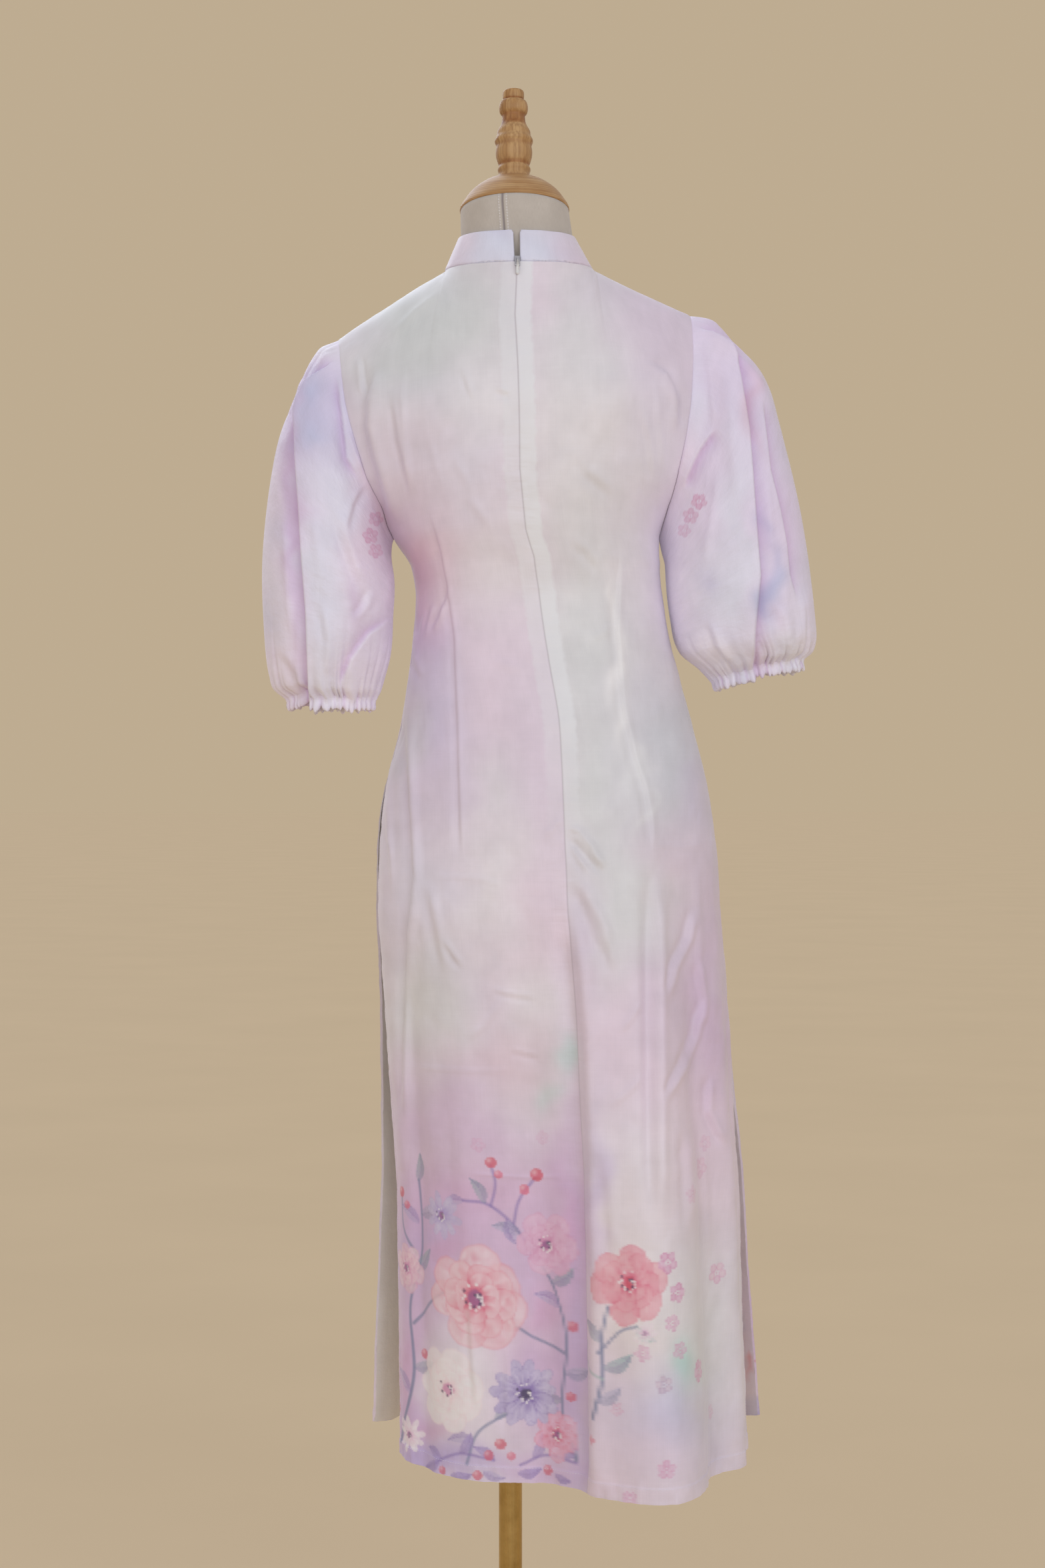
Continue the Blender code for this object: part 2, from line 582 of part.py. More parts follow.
def build_zip(collection, cutters):
    """The slider, and its pull hinged on the pin that passes under the slider's bridge."""
    seat = bpy.data.objects.new("zip_seat", None)
    collection.objects.link(seat)
    twist = math.radians(NECK_TWIST_DEG)
    foot = lean(np.array([NECK_HALF_WIDTH * math.sin(twist), NECK_BACK, SLIDER_Z]))
    seat.location = (foot[0], foot[1] + GAP, foot[2])
    seat.rotation_euler.x = math.radians(SLIDER_TILT_DEG)

    plate = SLIDER_SIZE[1]
    slider = box("zip_slider", SLIDER_SIZE, (0, plate / 2, 0), collection)
    slider.data.materials.append(bpy.data.materials.get("zip_nickel") or make_material("zip_nickel"))
    bridge_top = PIN_HEIGHT + PULL_PIN + BRIDGE_BAR
    bridge_foot = plate / 2
    bridge = box(
        "bridge",
        (BRIDGE_WIDTH, bridge_top - bridge_foot, BRIDGE_LENGTH),
        (0, (bridge_top + bridge_foot) / 2, 0),
        cutters,
    )
    hole_foot = plate + BRIDGE_FOOT
    hole_top = bridge_top - BRIDGE_BAR
    hole = box(
        "bridge_hole",
        (2 * BRIDGE_WIDTH, hole_top - hole_foot, BRIDGE_LENGTH - 2 * BRIDGE_BAR),
        (0, (hole_top + hole_foot) / 2, 0),
        cutters,
    )
    rounding = slider.modifiers.new("rounding", "BEVEL")
    rounding.width = SLIDER_ROUND
    rounding.segments = 2
    for helper, operation in ((bridge, "UNION"), (hole, "DIFFERENCE")):
        helper.hide_render = True
        helper.display_type = "WIRE"
        helper.parent = seat
        cut = slider.modifiers.new(helper.name, "BOOLEAN")
        cut.object = helper
        cut.operation = operation
    slider.parent = seat

    pull = bpy.data.objects.new("zip_pull", pull_outline())
    pull.data.materials.append(bpy.data.materials["zip_nickel"])
    collection.objects.link(pull)
    pull.parent = seat
    pull.location = (0, PIN_HEIGHT, 0)
    pull.rotation_euler.x = math.pi / 2


def pull_outline():
    """A flat tapering tab with a round foot, and a slot below its pin for the bridge to pass through."""
    outline = bpy.data.curves.new("zip_pull", "CURVE")
    outline.dimensions = "2D"
    outline.fill_mode = "BOTH"
    outline.extrude = PULL_THICKNESS / 2
    top = PULL_PIN / 2
    round_y = top - PULL_LENGTH + PULL_WIDTH / 2
    edge = [(PULL_TOP_WIDTH / 2, top)]
    for step in range(PULL_ROUND_STEPS + 1):
        angle = -math.pi * step / PULL_ROUND_STEPS
        edge.append((PULL_WIDTH / 2 * math.cos(angle), round_y + PULL_WIDTH / 2 * math.sin(angle)))
    edge.append((-PULL_TOP_WIDTH / 2, top))
    hole_top = -PULL_PIN / 2
    hole_foot = hole_top - PULL_HOLE_LENGTH
    half_hole = PULL_HOLE_WIDTH / 2
    hole = [(-half_hole, hole_top), (half_hole, hole_top), (half_hole, hole_foot), (-half_hole, hole_foot)]
    for points in (edge, hole):
        spline = outline.splines.new("POLY")
        spline.points.add(len(points) - 1)
        for point, (x, y) in zip(spline.points, points):
            point.co = (x, y, 0.0, 1.0)
        spline.use_cyclic_u = True
    return outline


def build_cloth(collection):
    across_back = panel_columns(BACK_SIDE_COLUMNS)
    across_front = panel_columns(FRONT_SIDE_COLUMNS)
    back = panel(BACK_SECTIONS, 1, across_back, panel_places(BACK_SECTIONS), BACK_FOLDS)
    front = panel(FRONT_SECTIONS, -1, across_front, panel_places(FRONT_SECTIONS), FRONT_FOLDS)
    back[:, :, 1] += SEAM / 2
    front[:, :, 1] -= SEAM / 2
    collar = lean(collar_grid(back, front))
    middle = back.shape[1] // 2
    back_right = lean(back[:, : middle + 1] - np.array([BACK_SEAM / 2, 0, 0]))
    back_left = lean(back[:, middle:] + np.array([BACK_SEAM / 2, 0, 0]))
    front = lean(front)
    thicken(loft("back_left", back_left, "printed_cloth", collection, flip=True), CLOTH)
    thicken(loft("back_right", back_right, "printed_cloth", collection, flip=True), CLOTH)
    thicken(loft("front", front, "printed_cloth", collection), CLOTH)
    thicken(loft("collar", collar, "collar_cloth", collection, flip=True), COLLAR_CLOTH)
    for name, back_half, column in (("left", back_left, -1), ("right", back_right, 0)):
        rings = SLEEVE_RINGS[name]
        mirrored = name == "right"
        sleeve = sleeve_grid(armhole(back_half, front, column), rings)
        cuff = cuff_grid(rings[-1])
        thicken(loft(f"sleeve_{name}", sleeve, "printed_cloth", collection, True, mirrored), CLOTH)
        thicken(loft(f"cuff_{name}", cuff, "printed_cloth", collection, True, mirrored), CLOTH)


def build_form(collection):
    angle = np.arange(FORM_COLUMNS) * 2 * math.pi / FORM_COLUMNS
    rows = []
    for z, half_width, back, front, slope in FORM_SECTIONS:
        y = np.where(np.sin(angle) > 0, back, front) * np.sin(angle)
        rows.append(np.stack([half_width * np.cos(angle), y, z + slope * y], axis=1))
    grid = lean(np.array(rows))
    grid[-1, :, 2] = FORM_SECTIONS[-1][0]
    loft("dress_form", grid, "form_jersey", collection, closed=True, caps=True)


def build_stand(collection):
    turned("base", BASE_PROFILE, BASE_STEPS, "brass", collection)
    foot = BASE_PROFILE[0][1] + GAP
    top = FORM_SECTIONS[-1][0] - GAP
    bpy.ops.mesh.primitive_cylinder_add(
        vertices=TURNED_STEPS, radius=POLE_RADIUS, depth=top - foot, location=(0, 0, (top + foot) / 2)
    )
    pole = bpy.context.object
    pole.name = "pole"
    for other in list(pole.users_collection):
        other.objects.unlink(pole)
    collection.objects.link(pole)
    pole.data.materials.append(bpy.data.materials["brass"])

    neck_z, _, _, _, slope = FORM_SECTIONS[0]
    middle = lean(np.array([0.0, 0.0, neck_z]))
    for name, profile in (("neck_cap", CAP_PROFILE), ("finial", FINIAL_PROFILE)):
        obj = turned(name, profile, TURNED_STEPS, "varnished_wood", collection)
        obj.location = middle
        obj.rotation_euler.x = math.atan(slope)


def main():
    for obj in list(bpy.data.objects):
        bpy.data.objects.remove(obj, do_unlink=True)
    collection = bpy.data.collections.new("ao_dai_on_dress_form")
    cutters = bpy.data.collections.new("cutters")
    for group in (collection, cutters):
        bpy.context.scene.collection.children.link(group)
    build_cloth(collection)
    build_zip(collection, cutters)
    build_form(collection)
    build_stand(collection)


main()
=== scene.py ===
"""The looks of an ao dai tunic and the dress form that wears it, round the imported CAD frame.

Metres, +Z up. The back of the tunic is +Y and the wearer's left is +X. The cloth's surfaces come from
the same sections, folds and rings as the CAD's, drawn finely, and then creased, seamed, painted and
printed. What lies on the cloth is placed by pixels of the picture, read through the camera.
"""

import itertools
import math

import bmesh
import bpy
import numpy as np
from mathutils import Matrix, Vector


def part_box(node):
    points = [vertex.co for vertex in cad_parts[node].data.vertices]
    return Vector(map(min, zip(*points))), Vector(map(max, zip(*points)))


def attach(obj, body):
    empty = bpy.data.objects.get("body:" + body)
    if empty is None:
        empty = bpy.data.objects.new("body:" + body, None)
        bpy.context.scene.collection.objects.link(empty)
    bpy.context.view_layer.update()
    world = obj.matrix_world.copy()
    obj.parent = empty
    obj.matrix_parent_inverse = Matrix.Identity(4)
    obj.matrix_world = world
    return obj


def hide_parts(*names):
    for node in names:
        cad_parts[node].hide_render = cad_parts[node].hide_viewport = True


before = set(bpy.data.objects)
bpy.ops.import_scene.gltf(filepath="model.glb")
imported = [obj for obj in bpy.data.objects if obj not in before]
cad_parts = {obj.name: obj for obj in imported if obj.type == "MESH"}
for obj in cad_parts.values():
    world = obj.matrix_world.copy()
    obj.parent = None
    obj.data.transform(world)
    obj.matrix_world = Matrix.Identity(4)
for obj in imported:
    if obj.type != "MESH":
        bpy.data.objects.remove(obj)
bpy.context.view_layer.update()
BODY = "tunic_and_stand"

# The picture's frame, in its own pixels, and where the camera stands.
PICTURE_WIDTH = 1568
PICTURE_HEIGHT = 2352
FOCAL_PIXELS = 4004.0
AXIS_PIXEL = 766.0  # where the pole's axis comes in the picture
CAMERA_DISTANCE = 2.6
CAMERA_HEIGHT = 0.886
CAMERA_AZIMUTH_DEG = 176.0
SENSOR_MM = 36.0

# Cloth surfaces, as in the CAD
SEAM = 0.0002
NECK_HALF_WIDTH = 0.0725
NECK_BACK = 0.066
NECK_FRONT = 0.070
NECK_SIDE_Z = 1.3845
NECK_BACK_DROP = 0.002
NECK_FRONT_DROP = 0.042
NECK_TWIST_DEG = 4.8
NECK_SHARE = 0.42
SHOULDER_TIP = (0.171, 0.0, 1.330)
OVAL = 2.2
COLLAR_HEIGHT = 0.0310
COLLAR_TOP_RADIUS = 0.0575
COLLAR_SLOT_TOP = 0.0094
COLLAR_SLOT_FOOT = 0.0062

BACK_SECTIONS = [
    # knot, z_mid, z_edge, half_width, depth, y_axis, wrap_deg, seam_x
    (0.120, 1.268, 1.258, 0.1890, 0.100, 0.000, 60, 0.0045),
    (0.190, 1.196, 1.182, 0.1710, 0.103, 0.000, 60, 0.0060),
    (0.256, 1.135, 1.125, 0.1290, 0.096, 0.000, 90, 0.0080),
    (0.286, 1.102, 1.100, 0.1212, 0.089, 0.000, 90, 0.0085),
    (0.316, 1.070, 1.070, 0.1195, 0.082, 0.000, 90, 0.0070),
    (0.387, 1.000, 1.000, 0.1290, 0.093, 0.000, 90, 0.0010),
    (0.444, 0.945, 0.943, 0.1420, 0.108, 0.000, 90, -0.0040),
    (0.542, 0.850, 0.850, 0.1610, 0.124, 0.000, 89, -0.0052),
    (0.662, 0.730, 0.730, 0.1670, 0.127, 0.000, 88, -0.0062),
    (0.912, 0.480, 0.480, 0.1665, 0.108, 0.000, 88, -0.0010),
    (1.162, 0.228, 0.238, 0.1690, 0.088, 0.000, 88, 0.0000),
]
FRONT_SECTIONS = [
    # knot, z_mid, z_edge, half_width, depth, y_axis, wrap_deg, seam_x
    (0.120, 1.258, 1.258, 0.1850, 0.094, 0.000, 60, 0.0),
    (0.190, 1.190, 1.182, 0.1680, 0.124, 0.000, 61, 0.0),
    (0.256, 1.135, 1.125, 0.1290, 0.133, 0.000, 90, 0.0),
    (0.286, 1.102, 1.100, 0.1212, 0.122, 0.000, 90, 0.0),
    (0.316, 1.070, 1.070, 0.1195, 0.105, 0.000, 90, 0.0),
    (0.387, 1.000, 1.000, 0.1290, 0.104, 0.000, 90, 0.0),
    (0.444, 0.945, 0.943, 0.1420, 0.109, 0.000, 90, 0.0),
    (0.542, 0.850, 0.850, 0.1630, 0.116, -0.004, 88, 0.0),
    (0.662, 0.730, 0.730, 0.1680, 0.112, -0.015, 86, 0.0),
    (0.912, 0.490, 0.490, 0.1815, 0.096, -0.038, 83, 0.0),
    (1.162, 0.242, 0.250, 0.1960, 0.092, -0.056, 81, 0.0),
]
ARMPIT_KNOT = 0.256
SLIT_KNOT = 0.444
HEM_KNOT = 1.162

BACK_FOLDS = [
    # across, half_width, top_z, full_z, out
    (-0.20, 0.24, 0.95, 0.22, 0.092),
    (-0.44, 0.08, 0.86, 0.55, -0.010),
    (-0.66, 0.10, 0.80, 0.30, 0.014),
    (-0.84, 0.07, 0.80, 0.40, -0.008),
    (0.09, 0.09, 0.80, 0.30, -0.016),
    (0.40, 0.14, 0.90, 0.45, 0.008),
    (0.70, 0.08, 0.98, 0.60, -0.006),
]
FRONT_FOLDS = [
    # across, half_width, top_z, full_z, out
    (0.66, 0.13, 0.82, 0.25, 0.020),
    (0.34, 0.11, 0.78, 0.25, -0.014),
    (0.05, 0.14, 0.84, 0.25, 0.018),
    (-0.28, 0.11, 0.78, 0.25, -0.016),
    (-0.60, 0.14, 0.84, 0.25, 0.022),
]
LEAN = [
    # z, shift_x, tip
    (0.235, -0.0625, 0.000),
    (0.400, -0.0580, 0.000),
    (0.500, -0.0560, 0.000),
    (0.600, -0.0490, 0.000),
    (0.676, -0.0450, -0.004),
    (0.766, -0.0375, -0.008),
    (0.870, -0.0355, -0.015),
    (0.945, -0.0340, -0.020),
    (1.026, -0.0296, -0.020),
    (1.070, -0.0277, -0.020),
    (1.100, -0.0245, -0.010),
    (1.125, -0.0160, -0.010),
    (1.182, -0.0080, -0.035),
    (1.258, -0.0050, -0.070),
    (1.330, -0.0036, -0.082),
    (1.384, -0.0080, -0.015),
    (1.415, -0.0064, -0.005),
    (1.443, -0.0040, 0.000),
]
SLEEVE_RINGS = {
    "left": [
        # knot, outer_x, outer_z, inner_x, inner_z, y_mid, half_depth
        (0.021, 0.1860, 1.306, 0.1165, 1.118, 0.000, 0.058),
        (0.075, 0.2143, 1.260, 0.1175, 1.104, 0.001, 0.069),
        (0.155, 0.2325, 1.182, 0.1140, 1.078, 0.003, 0.076),
        (0.233, 0.2403, 1.104, 0.1140, 1.050, 0.004, 0.077),
        (0.310, 0.2385, 1.028, 0.1175, 1.010, 0.004, 0.073),
        (0.357, 0.2310, 0.982, 0.1270, 0.978, 0.004, 0.058),
        (0.375, 0.2185, 0.970, 0.1310, 0.969, 0.004, 0.0455),
    ],
    "right": [
        # knot, outer_x, outer_z, inner_x, inner_z, y_mid, half_depth
        (0.029, -0.2030, 1.338, -0.1480, 1.112, 0.002, 0.058),
        (0.096, -0.2461, 1.286, -0.1510, 1.098, 0.006, 0.070),
        (0.177, -0.2695, 1.208, -0.1525, 1.072, 0.010, 0.077),
        (0.267, -0.2875, 1.118, -0.1560, 1.044, 0.012, 0.078),
        (0.340, -0.2960, 1.040, -0.1650, 1.014, 0.014, 0.073),
        (0.378, -0.2930, 1.018, -0.1860, 0.998, 0.014, 0.059),
        (0.396, -0.2845, 1.0095, -0.1955, 0.9895, 0.014, 0.046),
    ],
}
ARMHOLE_HALF_DEPTH = 0.055
ARMHOLE_FADE = 0.16
CAP_PLEATS = 5
CAP_SPREAD_DEG = 70
CAP_PLEAT_DEPTH = 0.0035
CAP_PLEAT_LENGTH = 0.17
CUFF_GATHERS = 28
CUFF_HEIGHT = 0.0115

FORM_SECTIONS = [
    # z, half_width, back, front, slope
    (1.4430, 0.0528, 0.0528, 0.0528, 0.14),
    (1.4150, 0.0545, 0.0545, 0.0540, 0.06),
    (1.3850, 0.0570, 0.0560, 0.0530, 0.00),
    (1.3660, 0.0690, 0.0580, 0.0520, 0.00),
    (1.3480, 0.0980, 0.0620, 0.0540, 0.00),
    (1.3250, 0.1300, 0.0680, 0.0640, 0.00),
    (1.2900, 0.1460, 0.0780, 0.0720, 0.00),
    (1.2500, 0.1500, 0.0860, 0.0800, 0.00),
    (1.1850, 0.1420, 0.0900, 0.1060, 0.00),
    (1.1250, 0.1180, 0.0850, 0.1200, 0.00),
    (1.0950, 0.1120, 0.0770, 0.1100, 0.00),
    (1.0650, 0.1110, 0.0720, 0.0940, 0.00),
    (1.0000, 0.1200, 0.0820, 0.0930, 0.00),
    (0.9450, 0.1320, 0.0960, 0.0970, 0.00),
    (0.8500, 0.1500, 0.1110, 0.1030, 0.00),
    (0.7850, 0.1530, 0.1120, 0.1030, 0.00),
    (0.7600, 0.1430, 0.1040, 0.0950, 0.00),
    (0.7530, 0.1320, 0.0940, 0.0850, 0.00),
]
CAP_PROFILE = [
    # radius, height
    (0.0000, 0.0330),
    (0.0160, 0.0327),
    (0.0230, 0.0312),
    (0.0330, 0.0262),
    (0.0430, 0.0180),
    (0.0500, 0.0085),
    (0.0533, 0.0025),
    (0.0528, 0.0003),
    (0.0000, 0.0003),
]
FINIAL_PROFILE = [
    # radius, height
    (0.0000, 0.1235),
    (0.0090, 0.1233),
    (0.0103, 0.1217),
    (0.0103, 0.1162),
    (0.0099, 0.1137),
    (0.0128, 0.1117),
    (0.0141, 0.1062),
    (0.0134, 0.1012),
    (0.0113, 0.0982),
    (0.0113, 0.0937),
    (0.0122, 0.0892),
    (0.0160, 0.0817),
    (0.0166, 0.0772),
    (0.0187, 0.0720),
    (0.0172, 0.0672),
    (0.0178, 0.0617),
    (0.0175, 0.0562),
    (0.0162, 0.0512),
    (0.0147, 0.0467),
    (0.0160, 0.0430),
    (0.0149, 0.0382),
    (0.0156, 0.0333),
    (0.0000, 0.0333),
]


# ---------------------------------------------------------------- how finely things are drawn

PANEL_STEP = 0.0014
PANEL_ROW_STEP = 0.0027
FRONT_STEP = 0.0024
FRONT_ROW_STEP = 0.0034
HEM_ZONE = 0.83  # distance down a panel at which the printed zone starts
LAST_ROW = 0.0006  # how far above the hem's end the last row but one is
NECK_RUN = 0.088  # about how far half a panel runs along the neck, and from there to its side
SIDE_RUN = 0.112
BACK_HALF_GIRTH = 0.185  # about how far it runs across at the slits
FRONT_HALF_GIRTH = 0.205
FINE_SHARES = (0.002, 0.0045)  # extra columns close to a seam, as shares of half a panel
PANEL_INNER_STEP = 4  # a panel's inner side has one of so many of the outer side's rows and columns
SLEEVE_INNER_STEP = 3
SLEEVE_COLUMNS = 300
SLEEVE_STEP = 0.0021
FIRST_SLEEVE_ROW = 0.0010
CUFF_COLUMNS = 392
COLLAR_COLUMNS = 70
COLLAR_ROWS = 16
FORM_COLUMNS = 128
FORM_ROWS = [
    # from_z, to_z, rows
    (1.443, 1.380, 22),
    (1.377, 0.753, 90),
]
TURNED_COLUMNS = 96
PULL_COLUMNS = 40
THREAD_SIDES = 6
TWIG_PIECES = 8
WELD_DISTANCE = 0.000002
SHORTEST = 1e-12  # stands in for a length of zero
SAME_PLACE = 1e-6
FORM_FOOT = 0.75
CLOSED_SHARE = 0.02  # the form's ends are closed down to this share of their width
LIP_SHARE = 0.94  # and turn in to these before that, under the cap and over the foot's board
FOOT_SHARE = 0.93
SMALLEST_RADIUS = 0.00001


# ---------------------------------------------------------------- the relief and the small shapes, in metres

CLOTH_WALL = 0.0006
COLLAR_WALL = 0.0018
COLLAR_CORNER = 0.0016
COLLAR_SINK = 0.0006
COLLAR_RIM = [
    # share of the way from the outer side to the inner, lift
    (0.15, 0.0005),
    (0.50, 0.0008),
    (0.85, 0.0005),
]
HEM_HEIGHT = 0.0145
HEM_RISE = 0.0006
HEM_PUCKER = 0.0010
SLIT_HEM = 0.0065
SLIT_RISE = 0.0003
SLIT_PUCKER = 0.00035
TURNED_EDGE = 0.0012  # over what width a hem's doubled cloth rises
SEAM_SINK = 0.00045
SIDE_SEAM_SINK = 0.00025
ARMHOLE_SINK = 0.0003
SINK_WIDTH = 0.0010
STITCH_PITCH = 0.0029
STITCH_LENGTH = 0.0020
STITCH_MARGIN = 3  # columns left free at each end of a hem's row
STITCH_LIFT = (-0.4, 1.0, 1.0, -0.4)  # along a stitch, in radii of the thread
STITCH_WIDTH = (0.5, 1.0, 1.0, 0.5)
SLIT_STITCH_START = 0.01
THREAD_RADIUS = 0.00016
ZIP_LENGTH = 0.57
ZIP_FADE_FROM = 0.42
BAND_HALF_WIDTH = 0.0145
BAND_HEIGHT = 0.00012
WEAVE_HEIGHT = 0.000022
RIPPLE_HEIGHT = 0.00022
JERSEY_STITCH_PITCH = 0.0024
FORM_SEAM_DEG = 74.0  # where the form's seam is, from its left side towards its back
GROOVE_DEPTH = 0.0012

SLEEVE_RADIUS = 0.073  # about a sleeve's and a cuff's own radius, for measures round them
CUFF_RADIUS = 0.045
CUFF_SEEDS = {"left": 101, "right": 121}
CUFF_PROFILE = [
    # down, out, gather_depth, own_share: from the sleeve's last row round the foot and up inside
    (0.0000, 0.0000, 0.0028, 0.0),
    (0.0016, -0.0008, 0.0027, 0.05),
    (0.0032, -0.0012, 0.0026, 0.15),
    (0.0052, -0.0012, 0.0026, 0.25),
    (0.0074, -0.0010, 0.0026, 0.35),
    (0.0094, -0.0012, 0.0025, 0.4),
    (0.0107, -0.0020, 0.0024, 0.4),
    (0.0112, -0.0030, 0.0022, 0.4),
    (0.0106, -0.0041, 0.0020, 0.4),
    (0.0088, -0.0048, 0.0018, 0.4),
    (0.0060, -0.0050, 0.0016, 0.4),
    (0.0020, -0.0046, 0.0014, 0.3),
]
CUFF_PINCH = 0.0010
CUFF_RUFFLE = 0.0016
GATHER_DEPTH = 0.0028
SLOW_GATHERS = 11
SLOW_GATHER_DEPTH = 0.0018
CAP_GATHERS = 60
CAP_GATHER_DEPTH = 0.0006
CAP_SEED = 81
EASE_FROM = 0.256  # between these distances down the panel the cloth bridges the hollow of the back
EASE_TO = 0.470
EASE_REACH = 0.030
EDGE_CURL = 0.013
EDGE_CURL_WIDTH = 0.11
CREASE_GAIN = 2.0
SLEEVE_CREASE_GAIN = 1.4
CREASE_REACH = 4  # how far a crease is drawn, in its half widths
PULL_FILL = (0.92, 1.0, 0.98)  # share of the CAD pull's box
PULL_WIDEST = 0.74
PULL_PROFILE = [
    # share of the outline, out: from the back's middle round the rim to the front's middle
    (0.02, -0.8),
    (0.80, -0.8),
    (0.96, -0.5),
    (1.00, 0.0),
    (0.96, 0.7),
    (0.86, 0.9),
    (0.76, 0.5),
    (0.68, 0.3),
    (0.02, 0.3),
]

BODY_WAVES = [
    # scale, stretch, height, seed; the hem's heights are shares of HEM_PUCKER
    (0.045, 1.00, 0.00060, 71),
    (0.020, 0.50, 0.00032, 72),
]
SKIRT_WAVES = [(0.022, 0.16, 0.00090, 73), (0.012, 0.30, 0.00036, 74)]
HEM_WAVES = [(0.0075, 0.25, 1.0, 62), (0.004, 0.4, 0.5, 63)]
SLEEVE_WAVES = [(0.03, 0.5, 0.0005, 87)]
COLLAR_WAVES = [(0.014, 1.0, 0.00035, 91)]
COLLAR_PUCKERS = [(0.0055, 0.3, 0.0004, 92)]
RUMPLES = [
    # slant, scale, height, seed
    (np.array([[0.9, 0.35], [-0.45, 0.6]]), 0.016, 0.00045, 75),
    (np.eye(2), 0.009, 0.00020, 76),
]
NOISE_PRIMES = np.array([374761393, 668265263, 2147483647, 951274213])
NOISE_MIXING = ((13, 1274126177), (16, 668265263))
NOISE_MASK = 0x7FFFFFFF


# ---------------------------------------------------------------- paint, light and floor

PIXELS_PER_METRE = 1540.0
FINEST_STROKE = 0.0013
SOFTEST_EDGE = 0.0026
POLLEN_DOTS = 20
OUT_OF_SIGHT = 1e6
NOISE_RANGE = (0.3, 0.7)  # most of a noise texture's values lie between these
CUFF_PLACE = 0.4  # where the cuffs' weave starts, past the end of the sleeves' own
COLLAR_PLACE = 0.5
COLLAR_PLACE_STEP = 0.001
REVERSE_PALENESS = 0.85
PLAIN_TONE = 0.8
FOLD_SHADOW = (0.84, 0.68, 0.83)  # painted shade: what a deep valley keeps of the cloth's colour
# what the turned grooves keep of the wood's colour: darker there
GROOVE_DARKENING = (0.70, 0.50, 0.36)
FLOOR_COLOUR = (0.668, 0.532, 0.348)
FLOOR_HALF_WIDTH = 80.0
WORLD_COLOUR = (0.515, 0.413, 0.285)
AMBIENT_COLOUR = (0.512, 0.487, 0.492)  # what the world sheds on the object
LIGHT_DISTANCE = 4
LIGHTS = [
    # name, azimuth_deg, elevation_deg, strength, angle_deg, colour
    ("key", 205, 8, 0.84, 38, (0.82, 0.89, 1.00)),
    ("fill", 171, 3, 0.37, 30, (0.86, 0.90, 0.98)),
    ("left", 144, 4, 0.48, 40, (0.85, 0.90, 1.00)),
    ("front", 20, 38, 1.3, 50, (0.80, 0.87, 1.00)),
]


# ---------------------------------------------------------------- tables of the cloth's looks

WASH = {
    # colours of the wet-looking wash, as reflectance; some blobs in the tables below are painted light and
    # some painted shade, and say so
    "haze": (0.79, 0.70, 0.79),
    "veil": (0.84, 0.745, 0.92),
    "lining": (0.97, 0.96, 0.96),
    "white": (0.86, 0.85, 0.86),
    "mist": (0.74, 0.76, 0.76),
    "frost": (0.80, 0.81, 0.93),
    "ice": (0.76, 0.79, 0.93),
    # painted light: laid on cloth that lies in shade, to lighten it
    "painted_light": (0.93, 0.88, 1.00),
    "glow": (0.93, 0.84, 0.95),
    "smoke": (0.66, 0.69, 0.68),
    "steel": (0.64, 0.68, 0.73),
    "pink": (0.85, 0.68, 0.80),
    "lilac": (0.74, 0.62, 0.75),
    "lavender": (0.62, 0.58, 0.80),
    "blue": (0.55, 0.58, 0.80),
    "mauve": (0.66, 0.46, 0.70),
    "rose": (0.74, 0.42, 0.50),
    "iris": (0.52, 0.42, 0.72),
    "magenta": (0.72, 0.40, 0.62),
    "mint": (0.50, 0.72, 0.66),
    "cream": (0.87, 0.80, 0.77),
}

LEFT_WASH = [
    # x, y, half_width, half_height, strength, colour: the wearer's left, on the left of the picture
    (660, 480, 170, 130, 0.95, "mist"),
    (610, 500, 80, 90, 0.7, "smoke"),
    (700, 450, 60, 60, 0.35, "smoke"),
    (730, 590, 60, 90, 0.5, "white"),
    (690, 700, 110, 90, 0.25, "ice"),
    (625, 760, 50, 110, 0.35, "lilac"),
    (622, 885, 50, 80, 0.70, "rose"),
    (655, 835, 34, 40, 0.5, "pink"),
    (635, 960, 60, 60, 0.45, "mauve"),
    # painted light: lightens the cloth above the waist, which faces down into shade
    (760, 850, 80, 80, 0.45, "white"),
    (645, 1080, 50, 120, 0.70, "lavender"),
    (640, 1180, 60, 110, 0.45, "lilac"),
    (740, 1060, 70, 120, 0.35, "pink"),
    (800, 1170, 45, 110, 0.4, "lilac"),
    (610, 1100, 25, 120, 0.4, "mist"),
    (740, 1190, 45, 60, 0.4, "mist"),
    (655, 1240, 60, 60, 0.25, "lilac"),
    (740, 1340, 60, 100, 0.6, "white"),
    (625, 1370, 55, 120, 0.6, "frost"),
    (620, 1440, 50, 70, 0.4, "pink"),
    (810, 1390, 50, 100, 0.45, "pink"),
    (640, 1500, 70, 90, 0.80, "mist"),
    (800, 1500, 40, 50, 0.5, "white"),
    (755, 1600, 70, 40, 0.30, "rose"),
    (840, 1580, 22, 24, 0.7, "mint"),
    (815, 1632, 20, 18, 0.6, "mint"),
    (725, 1500, 40, 60, 0.3, "lilac"),
    (650, 1670, 80, 45, 0.40, "mauve"),
    (740, 1700, 60, 40, 0.30, "mauve"),
    (800, 1640, 70, 90, 0.35, "white"),
    # painted shade: the valley along the seam's long fold
    (862, 1780, 20, 130, 0.4, "mauve"),
]
